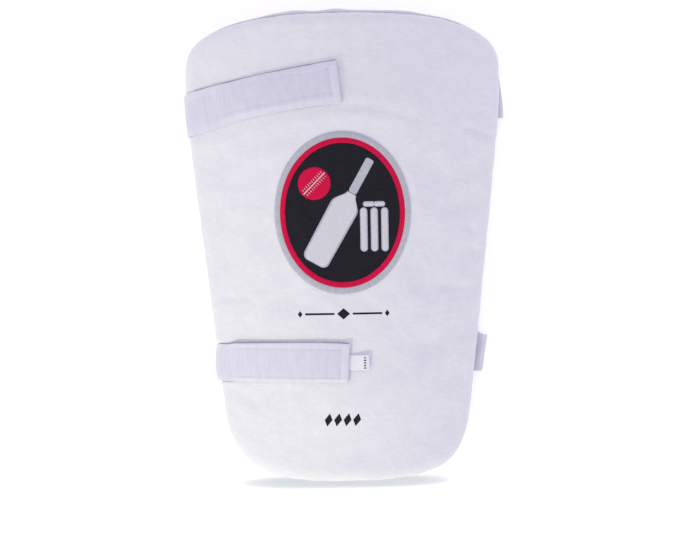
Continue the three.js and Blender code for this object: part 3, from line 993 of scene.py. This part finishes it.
def rim_wave(x):
    """Gentle humps of the lining's rim past the seam at the waist end, and where it shows less."""
    wave = sum(RIM_HUMP_RISE * np.exp(-(((x - hump) / RIM_HUMP_REACH) ** 2)) for hump in RIM_HUMPS)
    wave = wave + lumps_at(x, 0.0, RIM_LUMPS)
    return wave - (LINING_RIM - RIM_LEAST) * ease((-x - 0.055) / 0.025)


def make_lining(material):
    """Soft padded lining behind the pad."""
    core = inset_ring(ROLL_WIDTH)
    shares = np.concatenate([np.linspace(0.04, 0.9, 26), [0.95, 1]])
    flat = [core * share for share in shares] + [inset_ring(LINING_MARGIN)]
    levels = [(ring, lumps_at(*ring.T, LINING_LUMPS)) for ring in flat]
    for angle in NOSE_ANGLES:
        ring, height = lining_nose(angle)
        ring[:, 1] += near_waist(ring[:, 1]) * rim_wave(ring[:, 0])
        levels.append((ring, height))
    start = len(levels)
    levels += [(ring, LINING_THICKNESS) for ring in flat[::-1]]
    shape = finish_rings(levels, start, 0.0, LINING_THICKNESS)
    return make_piece("soft_lining", *shape, material, "lining_cloth", "back_lining")


# Cord in the seam, dark as painted shade for the seam's shadow line: its radius, its height, its
# inset and how far out it stands at the waist end
SEAM_CORD = 0.0009
SEAM_CORD_RISE = 0.0011
SEAM_CORD_INSET = 0.0013
SEAM_CORD_OUT = 0.0016


def make_seam_shadow_cord(material):
    """Cord in the seam between cover and lining, which stands out of it at the waist end; its dark
    colour is painted shade for the seam's shadow line.
    """
    inset = SEAM_CORD_INSET - SEAM_CORD_OUT * near_waist(OUTLINE[:, 1])
    middle = BACK + SEAM_CORD_RISE + pocket_lift(*OUTLINE.T)
    points, uvs = [], []
    for angle in full_turn(8):
        ring = inset_ring((inset - SEAM_CORD * math.cos(angle))[:, None])
        points.append(on_arch(*ring.T, middle + SEAM_CORD * math.sin(angle)))
        uvs.append(as_points(OUTLINE_RUN, angle * SEAM_CORD))
    faces = loop_faces(len(points), SECTORS)
    points = draw_in(np.concatenate(points), DRAWN_START)
    return make_piece(
        "pad_seam_cord", points, faces, np.concatenate(uvs), material, "cover_cloth"
    )


# Tag

# How far the tag's loop stands off the cover, and how it waves from side to side
TAG_RISE = 0.0019
TAG_WAVE = 0.00025
TAG_WAVES = 420


def tag_top(past, aside, above=0.0):
    """Points above the tag, by the distance past the strap's end and from the tag's middle."""
    across, y = run_point(STRAPS["lower"], -past, aside)
    out = ease(past / TAG_SHOWN)
    raised = TAG_RISE * out + TAG_WAVE * np.sin(aside * TAG_WAVES + 0.6) * out
    return on_face(across, y, CLEARANCE + TAG_THICKNESS + raised + above)


def make_tag(material):
    """Folded woven tag under the end of the lower strap, its loop a little off the cover."""
    radius = TAG_THICKNESS / 2
    run = np.linspace(-TAG_TUCK, TAG_SHOWN - radius, 26)
    turn = np.radians(np.linspace(90, -90, 9))[1:-1]
    profile = [(b, 1.0) for b in run]
    profile += [(run[-1] + radius * math.cos(a), math.sin(a)) for a in turn]
    profile += [(b, -1.0) for b in run[::-1]]
    asides = np.linspace(-TAG_WIDTH / 2, TAG_WIDTH / 2, 13)
    points, uvs = [], []
    for aside in asides:
        for past, side in profile:
            points.append(tag_top(past, aside, radius * (side - 1)))
            uvs.append((past, aside))
    faces = tube_faces(len(asides), len(profile))
    piece = make_piece("size_tag_cloth", points, faces, uvs, material, "tag_satin", "size_tag")
    return piece


# Bars on the tag: how far past the strap's end, and the place and length of each
BARS_PAST = 0.0114
BARS = ((0.0037, 0.0018), (0.0017, 0.0026), (-0.0003, 0.0026), (-0.0023, 0.0021), (-0.0043, 0.0026))


def make_tag_marks(material):
    """Plain woven bars across the tag, where a size would stand."""
    stitches = []
    for place, length in BARS:
        p, q = (tag_top(BARS_PAST + s * length / 2, place, 0.00002) for s in (-1, 1))
        up = tag_top(BARS_PAST, place, 0.001) - tag_top(BARS_PAST, place)
        stitches.append((p, q, unit(up)))
    return make_stitches("size_tag_bars", stitches, material, "tag_satin", 0.0005)


# Embroidery

def on_badge(u, v, above):
    """Points above the face by their place on the badge, in metres from its middle."""
    return on_face(BADGE_X + u, BADGE_Y + v, above)


def badge_piece(name, shape, material):
    """Piece of the badge from points, faces and UVs."""
    return make_piece(name, *shape, material, "badge_stitching", "badge")


FIELD_TOP = 0.0011
SATIN = 0.00055
SILVER_WIDTH = 0.0050
RED_WIDTH = 0.0043
RING_STEPS = 720


def badge_ring(name, outer, inner, edges, crown, material):
    """Satin-stitched ring between two margins inside the badge's edge, with its edges' heights."""
    angle = full_turn(RING_STEPS)
    ridge = 1 + 0.10 * np.cos(angle * RING_STEPS / 3)
    run = angle * (BADGE_HALF_WIDTH + BADGE_HALF_HEIGHT) / 2
    section = []
    for t in np.linspace(0, 1, 9):
        base = edges[0] + (edges[1] - edges[0]) * t
        section.append((t, base + (crown - base) * math.sin(math.pi * t) ** 0.6 * ridge))
    section += [(1.0, CLEARANCE), (0.0, CLEARANCE)]
    points, uvs = [], []
    for t, height in section:
        margin = outer + (inner - outer) * t
        u = (BADGE_HALF_WIDTH - margin) * np.cos(angle)
        v = (BADGE_HALF_HEIGHT - margin) * np.sin(angle)
        points.append(on_badge(u, v, height))
        uvs.append(as_points(run, margin))
    shape = np.concatenate(points), loop_faces(len(section), RING_STEPS), np.concatenate(uvs)
    return badge_piece(name, shape, material)


def badge_field(margin, material):
    """Filled ground of the badge, inside its rings."""
    shares = np.linspace(1, 0, 31)[:-1]
    angle = full_turn(200)
    half_u, half_v = BADGE_HALF_WIDTH - margin, BADGE_HALF_HEIGHT - margin
    rings, uvs = [], []
    for share, height in [(s, CLEARANCE) for s in shares[::-1]] + [(s, FIELD_TOP) for s in shares]:
        u, v = share * half_u * np.cos(angle), share * half_v * np.sin(angle)
        quilt = 0.00008 * wander(u, v, 0.006, 4.0) if height == FIELD_TOP else 0
        rings.append(on_badge(u, v, height + quilt))
        uvs.append(as_points(u, v))
    faces = ring_faces(len(rings), len(angle))
    rings += [on_badge(0, 0, height)[None] for height in (CLEARANCE, FIELD_TOP)]
    shape = np.concatenate(rings), faces, np.concatenate(uvs + [np.zeros((2, 2))])
    return badge_piece("badge_ground", shape, material)


def satin_strip(
    start, end, half_width, stations=44, columns=11, height=SATIN, droop=0.75, corner=1, far=True
):
    """Raised strip of satin stitch on the badge, from (distance along it, half width) pairs.

    Its corners, at the far end too if asked, are rounded by a share of the half width there.
    """
    start, end = np.array(start), np.array(end)
    length = np.linalg.norm(end - start)
    along = (end - start) / length
    side = np.array([-along[1], along[0]])
    shares = (1 - np.cos(np.linspace(0, math.pi, stations))) / 2
    places, halves = zip(*half_width)
    top = [(v, 1 - droop * abs(v) ** 3) for v in np.linspace(1, -1, columns)]
    low = [(v, None) for v in np.linspace(-1, 1, columns)]
    points, uvs = [], []
    for share in shares:
        from_end = (min(share, 1 - share) if far else share) * length
        half = float(np.interp(share * length, places, halves))
        radius = min(half * corner, length / 2)
        if from_end < radius:
            turn = math.sqrt(max(1 - (1 - from_end / radius) ** 2, 0))
            half = max(half - radius * (1 - turn), 0.02 * half)
        for v, crown in top + low:
            place = start + along * share * length + side * v * half
            rise = -0.0002 if crown is None else height * crown
            points.append(on_badge(*place, FIELD_TOP + rise))
            uvs.append((share * length, v * half))
    return np.array(points), tube_faces(stations, 2 * columns), np.array(uvs)


# Bat, ball and wicket on the badge, with the ball's seam and its cross stitches: places in
# metres from its middle
BAT_TOE = (-0.0225, -0.0385)
BAT_SHOULDER = (0.0075, 0.0147)
BAT_END = (0.0225, 0.0413)
BLADE_HALF = 0.0107
HANDLE_HALF = 0.0034
BALL = (-0.0215, 0.0230)
BALL_RADIUS = 0.0128
STUMPS = (0.0165, 0.0247, 0.0329)
STUMP_HALF = 0.0022
STUMP_FEET = -0.0300
STUMP_TOPS = 0.0030
BAIL_V = 0.0064
BAIL_HALF = 0.0014
BAIL_GAP = 0.0002
SHOULDER = 0.0120
EDGING = 0.0007
SEAM_ALONG = np.array([0.707, 0.707])
SEAM_SIDE = np.array([-0.707, 0.707])
SEAM_HALF = 0.0006
CROSS_OFF = 0.0024
CROSS_HALF = 0.0012


def seam_stitches():
    """Cross stitches on both sides of the ball's seam."""
    stitches = []
    for t in np.linspace(-0.78, 0.78, 11):
        for row in (-1, 1):
            across = BALL + SEAM_ALONG * t * BALL_RADIUS + SEAM_SIDE * row * CROSS_OFF
            off = np.linalg.norm(across - BALL) / BALL_RADIUS
            height = FIELD_TOP + SATIN * 1.2 * (1 - 0.75 * off**3)
            a, b = across - SEAM_SIDE * CROSS_HALF, across + SEAM_SIDE * CROSS_HALF
            p, q = on_badge(*a, height), on_badge(*b, height)
            stitches.append((p, q, unit(on_badge(*a, height + 0.001) - p)))
    return stitches


def blade_widths(length):
    """Half widths along the bat's blade, which eases into its handle."""
    past = np.linspace(0, 1, 12)
    narrow = HANDLE_HALF + (BLADE_HALF - HANDLE_HALF) * (1 - ease(past)) ** 0.8
    return [(0, BLADE_HALF * 0.94), *zip(length - SHOULDER * (1 - past), narrow)]


def even(half_width):
    """One half width from end to end of a strip."""
    return [(0, half_width), (1, half_width)]


def make_motif():
    """A plain bat, ball and wicket in raised satin stitch, the white ones edged with silver."""
    blade = blade_widths(math.dist(BAT_TOE, BAT_SHOULDER))
    strips = [(BAT_TOE, BAT_SHOULDER, blade, dict(stations=90, columns=15, corner=0.45, far=False))]
    for u in STUMPS:
        strips.append(((u, STUMP_FEET), (u, STUMP_TOPS), even(STUMP_HALF), {}))
    for a, b in zip(STUMPS, STUMPS[1:]):
        strips.append(((a + BAIL_GAP, BAIL_V), (b - BAIL_GAP, BAIL_V), even(BAIL_HALF), {}))
    edging = []
    for start, end, widths, more in strips:
        reach = unit(np.subtract(end, start)) * EDGING
        wider = [(place, half + EDGING) for place, half in widths]
        start, end = start - reach, end + reach * more.get("far", True)
        edging.append(satin_strip(start, end, wider, **more, height=SATIN * 0.45, droop=0.2))
    badge_piece("badge_edging", merge(edging), SILVER)
    white = [satin_strip(start, end, widths, **more) for start, end, widths, more in strips]
    badge_piece("badge_bat_and_wicket", merge(white), WHITE)
    grip_start = BAT_SHOULDER + unit(np.subtract(BAT_END, BAT_SHOULDER)) * 0.0004
    grip = satin_strip(grip_start, BAT_END, even(HANDLE_HALF), corner=0.5)
    badge_piece("badge_bat_grip", grip, SILVER)
    ball = satin_strip(
        (BALL[0] - BALL_RADIUS, BALL[1]), (BALL[0] + BALL_RADIUS, BALL[1]), even(BALL_RADIUS),
        stations=48, columns=25, height=SATIN * 1.2,
    )
    badge_piece("badge_ball", ball, RED)
    reach = SEAM_ALONG * BALL_RADIUS * 0.93
    seam = satin_strip(
        BALL - reach, BALL + reach, even(SEAM_HALF), stations=30, columns=7, height=SATIN * 1.5
    )
    badge_piece("badge_ball_seam", seam, WHITE)
    make_stitches("badge_ball_stitches", seam_stitches(), WHITE, "badge_stitching", 0.0004)


# Printed ornaments

# Layers of a print, from its underside up: share of its outline and height over the cover
PRINT_LAYERS = ((1, -0.00012), (1, 0.00007), (0.9, 0.00011), (0.45, 0.00011))


def print_on(cover, name, outlines, material):
    """Thin printed shapes that lie on the cover, from outlines in (across, y)."""
    tree = BVHTree.FromObject(cover, bpy.context.evaluated_depsgraph_get())
    down = Vector((0, 0, -1))

    def lay(place, above):
        hits = [tree.ray_cast(Vector(p), down)[:2] for p in on_face(*place.T, 0.01)]
        return [hit + normal * above for hit, normal in hits]

    shapes = []
    for outline in outlines:
        middle = outline.mean(0)
        levels = [(middle + (outline - middle) * share, above) for share, above in PRINT_LAYERS]
        faces = ring_faces(len(levels), len(outline))
        levels += [(middle[None], levels[0][1]), (middle[None], levels[-1][1])]
        points = np.concatenate([lay(place, above) for place, above in levels])
        shapes.append((points, faces, np.concatenate([place for place, _ in levels])))
    return make_piece(name, *merge(shapes), material, "badge_stitching")


def rounded_bar(centre, length, width):
    """Outline of a level bar with round ends."""
    turn = np.linspace(-math.pi / 2, math.pi / 2, 10)
    end = as_points(np.cos(turn), np.sin(turn)) * width / 2
    straight = (length - width) / 2
    side = np.linspace(straight, -straight, 18)[1:-1]
    half = [end + (straight, 0), as_points(side, width / 2)]
    return np.concatenate(half + [-part for part in half]) + centre


def lozenge(centre, half_width, half_height, slant=0.0):
    """Outline of a lozenge, whose top and bottom may stand aside."""
    top, right = np.array([slant, half_height]), np.array([half_width, 0])
    corners = (right, top, -right, -top, right)
    steps = np.linspace(0, 1, 8, endpoint=False)
    return np.array([a + (b - a) * t for a, b in zip(corners, corners[1:]) for t in steps]) + centre


# Materials

class Nodes:
    """Short way to wire a material's nodes."""

    def __init__(self, name):
        self.material = bpy.data.materials.new(name)
        self.material.use_nodes = True
        self.tree = self.material.node_tree
        self.shader = self.tree.nodes["Principled BSDF"]

    def feed(self, node, inputs):
        """Give a node's inputs values or other nodes' outputs."""
        for key, value in inputs.items():
            if isinstance(value, bpy.types.NodeSocket):
                self.tree.links.new(value, node.inputs[key])
            else:
                node.inputs[key].default_value = value

    def add(self, kind, inputs=None, **values):
        """Outputs of a new node."""
        node = self.tree.nodes.new(kind)
        for key, value in values.items():
            setattr(node, key, value)
        self.feed(node, inputs or {})
        return node.outputs

    def math(self, operation, a, b=0.0):
        return self.add("ShaderNodeMath", {0: a, 1: b}, operation=operation)[0]

    def sine(self, value, pitch):
        return self.math("SINE", self.math("MULTIPLY", value, 2 * math.pi / pitch))

    def total(self, *parts):
        """Sum of values, each a (value, weight) pair."""
        weighted = [v if weight == 1 else self.math("MULTIPLY", v, weight) for v, weight in parts]
        result = weighted[0]
        for value in weighted[1:]:
            result = self.math("ADD", result, value)
        return result

    def uv(self):
        """A place on the cloth, and its u and v."""
        where = self.add("ShaderNodeUVMap", uv_map="cloth")[0]
        split = self.add("ShaderNodeSeparateXYZ", {0: where})
        return where, split[0], split[1]

    def noise(self, vector, size, detail=2.0, roughness=0.5, stretch=None):
        if stretch:
            scale = (1 / stretch[0], 1 / stretch[1], 1)
            vector = self.add("ShaderNodeMapping", {"Vector": vector, "Scale": scale})[0]
        inputs = {"Vector": vector, "Scale": 1 / size, "Detail": detail, "Roughness": roughness}
        return self.add("ShaderNodeTexNoise", inputs)["Fac"]

    def ramp(self, value, start, end):
        """0 before start and 1 past end."""
        inputs = {"Value": value, "From Min": start, "From Max": end}
        return self.add("ShaderNodeMapRange", inputs, interpolation_type="SMOOTHSTEP")[0]

    def blend(self, factor, dark, light):
        """Mix of two colours, each a tuple or an output."""
        dark, light = ((*c, 1) if isinstance(c, tuple) else c for c in (dark, light))
        return self.add("ShaderNodeMix", {0: factor, 6: dark, 7: light}, data_type="RGBA")[2]

    def bump(self, height, distance, below=None):
        inputs = {"Height": height, "Distance": distance}
        if below is not None:
            inputs["Normal"] = below
        return self.add("ShaderNodeBump", inputs)[0]

    def finish(self, color, normal, roughness, sheen=0.0, specular=0.5):
        self.feed(self.shader, {
            "Base Color": color, "Normal": normal, "Roughness": roughness,
            "Sheen Weight": sheen, "Sheen Roughness": 0.5, "Specular IOR Level": specular,
        })
        return self.material


def cloth_material(
    name, dark, light, pitch, depth, lump, lump_depth, roughness, sheen, specular=0.5
):
    """Plain woven cloth: crossed threads with slubs, a little fuzz, and faint clouds of colour."""
    nodes = Nodes(name)
    place, u, v = nodes.uv()
    weave = nodes.math("MULTIPLY", nodes.sine(u, pitch), nodes.sine(v, pitch))
    slub = nodes.noise(place, pitch * 1.6, 3.0, 0.6, stretch=(5, 1))
    clouds = nodes.noise(place, 0.014, 4.0, 0.65)
    patches = nodes.noise(place, 0.0042, 3.0, 0.65, stretch=(1.8, 1))
    shade = nodes.total((clouds, 0.45), (slub, 0.25), (patches, 0.30))
    coarse = nodes.bump(nodes.noise(place, lump, 3.0, 0.6), lump_depth)
    normal = nodes.bump(nodes.total((weave, 0.3), (slub, 2.0)), depth, coarse)
    return nodes.finish(nodes.blend(shade, dark, light), normal, roughness, sheen, specular)


def webbing_material(name, dark, light):
    """Woven elastic: ribs across it, fine lengthwise threads, and a soft sheen."""
    nodes = Nodes(name)
    place, u, v = nodes.uv()
    fuzz = nodes.noise(place, 0.0016, 3.0, 0.6)
    pull = nodes.noise(place, 0.004, 3.0, 0.6, stretch=(1, 4))
    # Lighter towards the webbing's edges and its free end, outside the stitched box
    beside = nodes.ramp(nodes.math("ABSOLUTE", v), 0.0102, 0.0128)
    margin = nodes.math("MAXIMUM", beside, nodes.ramp(u, 0.0078, 0.0056))
    shade = nodes.total((pull, 0.7), (fuzz, 0.3), (margin, 0.13))
    height = nodes.total((nodes.sine(u, 0.0021), 0.4), (nodes.sine(v, 0.0011), 0.4), (fuzz, 1))
    normal = nodes.bump(height, 0.00009, nodes.bump(pull, 0.0004))
    return nodes.finish(nodes.blend(shade, dark, light), normal, 0.62, 0.35)


def stitched_material(name, dark, light, along, pitch, depth, roughness, sheen, specular=0.3):
    """Embroidery: thread after thread along u or v, each a little lighter or darker."""
    nodes = Nodes(name)
    place, u, v = nodes.uv()
    across, stretch = (v, (6, 1)) if along == "u" else (u, (1, 6))
    threads = nodes.math("ABSOLUTE", nodes.sine(across, pitch * 2))
    # Painted glints: a streaky noise makes each thread's colour lighter or darker along it
    glint = nodes.noise(place, 0.0009, 3.0, 0.7, stretch=stretch)
    normal = nodes.bump(nodes.total((threads, 1), (glint, 1.5)), depth)
    return nodes.finish(nodes.blend(glint, dark, light), normal, roughness, sheen, specular)


def fill_material(name, dark, light):
    """Fill stitch: rows of long stitches, each row set off from the next like bricks."""
    nodes = Nodes(name)
    place = nodes.uv()[0]
    bricks = nodes.add("ShaderNodeTexBrick", {
        "Vector": place, "Color1": (1, 1, 1, 1), "Color2": (0.75, 0.75, 0.75, 1),
        "Mortar": (0, 0, 0, 1), "Scale": 1000.0, "Mortar Size": 0.09, "Mortar Smooth": 1.0,
        "Brick Width": 4.2, "Row Height": 0.55,
    }, offset=0.37, offset_frequency=1, squash=1.0)
    # Painted glints on the black thread: a streaky noise makes it lighter or darker
    glint = nodes.noise(place, 0.0011, 3.0, 0.7, stretch=(5, 1))
    normal = nodes.bump(bricks["Color"], 0.0002)
    return nodes.finish(nodes.blend(glint, dark, light), normal, 0.8, specular=0.12)


def hook_material(name, color):
    """Hook tape: a dense field of small hooks."""
    nodes = Nodes(name)
    where = nodes.add("ShaderNodeTexCoord")["Object"]
    cells = nodes.add("ShaderNodeTexVoronoi", {"Vector": where, "Scale": 1100})
    shade = nodes.blend(nodes.noise(where, 0.002), tuple(0.9 * c for c in color), color)
    return nodes.finish(shade, nodes.bump(cells["Distance"], 0.0006), 0.85, 0.1)


COVER = cloth_material(
    "cover_cloth", (0.695, 0.685, 0.755), (0.915, 0.92, 0.895), 0.0009, 0.00012, 0.006, 0.0007,
    0.8, 0.2,
)
LINING = cloth_material(
    "lining_cloth", (0.755, 0.755, 0.755), (0.875, 0.875, 0.865), 0.0013, 0.0002, 0.005, 0.0005,
    0.9, 0.4,
)
TAG = cloth_material(
    "tag_satin", (0.80, 0.795, 0.83), (0.885, 0.88, 0.91), 0.0004, 0.00004, 0.004, 0.0001, 0.4, 0.1
)
INK = cloth_material(
    "black_print", (0.008, 0.007, 0.012), (0.026, 0.024, 0.032), 0.0009, 0.00008, 0.007, 0.0001,
    0.7, 0.0, 0.12,
)
WEBBING = webbing_material("elastic", (0.576, 0.56, 0.662), (0.808, 0.792, 0.877))
HOOKS = hook_material("hook_tape", (0.78, 0.77, 0.82))
BLACK = fill_material("black_thread", (0.007, 0.0065, 0.010), (0.032, 0.031, 0.040))
# Threads: darkest and lightest colour, which way they run, pitch, depth, roughness and sheen
SEAM_SHADOW_CORD, THREADS, EDGE_SHADOW_CORD, SILVER, RED, WHITE = (stitched_material(*values) for values in (
    # seam cord: its darkened colour is painted shade along the seam
    ("seam_shadow_cord", (0.50, 0.48, 0.56), (0.62, 0.60, 0.67), "v", 0.0009, 0.0001, 0.7, 0.2),
    ("sewing_thread", (0.60, 0.58, 0.69), (0.74, 0.73, 0.81), "u", 0.1, 0.0001, 0.6, 0.3),
    # edge cord: its dark colour is painted shade for the gap under a strap's edge
    ("edge_shadow_cord", (0.30, 0.29, 0.36), (0.40, 0.39, 0.46), "u", 0.1, 0.0001, 0.8, 0.1),
    # silver: its wide range from dark grey to near white is painted glints of metal thread
    ("silver_thread", (0.355, 0.38, 0.435), (0.82, 0.82, 0.88), "v", 0.0005, 0.0002, 0.5, 0.1, 0.4),
    ("red_thread", (0.60, 0.004, 0.044), (0.98, 0.011, 0.098), "v", 0.0005, 0.0002, 0.6, 0.0, 0.1),
    ("white_thread", (0.70, 0.695, 0.74), (0.90, 0.895, 0.93), "v", 0.0005, 0.0002, 0.6, 0.1, 0.2),
))

# The guard

cover = make_cover(COVER)
lining = make_lining(LINING)
# cord in the seam, darkened as painted shade for the seam's shadow line
make_seam_shadow_cord(SEAM_SHADOW_CORD)
for name in STRAPS:
    make_strap(name, WEBBING)
    # dark cord under the strap's upper edge, painted shade for the gap there
    make_edge_shadow_cord(name, EDGE_SHADOW_CORD)
    make_stitches(f"{name}_strap_stitches", strap_stitches(name), THREADS, "elastic")
    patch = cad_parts[f"{name}_hook_patch"]
    patch.data.materials.clear()
    patch.data.materials.append(HOOKS)
make_tag(TAG)
make_tag_marks(INK)

badge_ring(
    "badge_silver_ring", 0.0, SILVER_WIDTH, (CLEARANCE + 0.0001, FIELD_TOP), FIELD_TOP + 0.0002,
    SILVER,
)
badge_ring(
    "badge_red_ring", SILVER_WIDTH, SILVER_WIDTH + RED_WIDTH, (FIELD_TOP, FIELD_TOP),
    FIELD_TOP + 0.0004, RED,
)
badge_field(SILVER_WIDTH + RED_WIDTH - 0.0002, BLACK)
make_motif()

RULE_Y = -0.0543
rules = [rounded_bar((x, RULE_Y), 0.0222, 0.0015) for x in (-0.0197, 0.0157)]
marks = [lozenge((-0.0020, RULE_Y), 0.0048, 0.0044)]
marks += [lozenge((x, RULE_Y), 0.0018, 0.0026) for x in (-0.0345, 0.0305)]
print_on(cover, "printed_rule", rules + marks, INK)
row = [lozenge((-0.0148 + i * 0.0072, -0.1376), 0.0030, 0.0052, 0.0012) for i in range(4)]
print_on(cover, "printed_lozenges", row, INK)

# Floor, light and camera

# Painted soft shadows on the paper, past the knee end and under it: x, y, half length, half
# width and how far out they stay dark; and the painted shadows' colour
SHADOWS = ((-0.0030, -0.1919, 0.098, 0.0071, 0.1), (-0.0010, -0.1680, 0.062, 0.0320, 0.25))
SHADOW_PAPER = (0.58, 0.60, 0.61)
FLOOR_REACH = 12.0
FLOOR_Z = -0.0002
FLOOR_GLOW = 0.33
SKY = (0.878, 0.860, 1.0)
SKY_STRENGTH = 0.90
SENSOR = 36.0
FOCAL_PIXELS = 1970
PICTURE_WIDTH = 690


def add_floor():
    """Pale glowing paper, a little below the guard, with soft shadows painted into its colour and
    glow.
    """
    mesh = bpy.data.meshes.new("floor")
    corners = [(-1, -1), (1, -1), (1, 1), (-1, 1)]
    places = [(x * FLOOR_REACH, y * FLOOR_REACH, FLOOR_Z) for x, y in corners]
    mesh.from_pydata(places, [], [(0, 1, 2, 3)])
    nodes = Nodes("floor_paper")
    where = nodes.add("ShaderNodeTexCoord")["Object"]
    paper = nodes.blend(nodes.noise(where, 0.4), (0.91, 0.90, 0.91), (0.93, 0.92, 0.93))
    lit = 1.0
    for x, y, half_long, half_wide, dark in SHADOWS:
        oval = nodes.add("ShaderNodeMapping", {
            "Vector": where, "Location": (-x / half_long, -y / half_wide, 0),
            "Scale": (1 / half_long, 1 / half_wide, 0),
        })
        split = nodes.add("ShaderNodeSeparateXYZ", {0: oval[0]})
        along = nodes.math("POWER", nodes.math("ABSOLUTE", split[0]), 4.0)
        beside = nodes.math("MULTIPLY", split[1], split[1])
        lit = nodes.math("MINIMUM", lit, nodes.ramp(nodes.math("ADD", along, beside), dark, 0.98))
    # Painted shadow: inside the ovals the paper's colour and its glow darken
    color = nodes.blend(lit, SHADOW_PAPER, paper)
    grain = nodes.bump(nodes.noise(where, 0.002), 0.00005)
    mesh.materials.append(nodes.finish(color, grain, 0.9))
    glow = nodes.blend(lit, SHADOW_PAPER, (1, 1, 1))
    nodes.feed(nodes.shader, {"Emission Color": glow, "Emission Strength": FLOOR_GLOW})
    add_object("floor", mesh)


def add_light(name, place, target, size, power, color):
    data = bpy.data.lights.new(name, "AREA")
    data.shape = "DISK"
    data.size = size
    data.energy = power
    data.color = color
    light = add_object(name, data)
    light.location = place
    aim = Vector(target) - Vector(place)
    light.rotation_euler = aim.to_track_quat("-Z", "Y").to_euler()


add_floor()
add_light("key", (-0.62, -1.06, 0.80), (0, 0, 0), 0.1, 5.4, (0.975, 1.0, 0.62))

world = bpy.data.worlds.new("soft_sky")
world.use_nodes = True
background = world.node_tree.nodes["Background"]
background.inputs[0].default_value = (*SKY, 1)
background.inputs[1].default_value = SKY_STRENGTH
bpy.context.scene.world = world
bpy.context.scene.view_settings.view_transform = "Standard"

camera_data = bpy.data.cameras.new("camera")
camera_data.sensor_width = SENSOR
camera_data.lens = SENSOR * FOCAL_PIXELS / PICTURE_WIDTH
camera_data.clip_end = 20
camera = add_object("camera", camera_data)
camera.location = (-0.00043, -0.02055, 1.6)
camera.rotation_euler = (0, 0, math.radians(-1.0))
bpy.context.scene.camera = camera
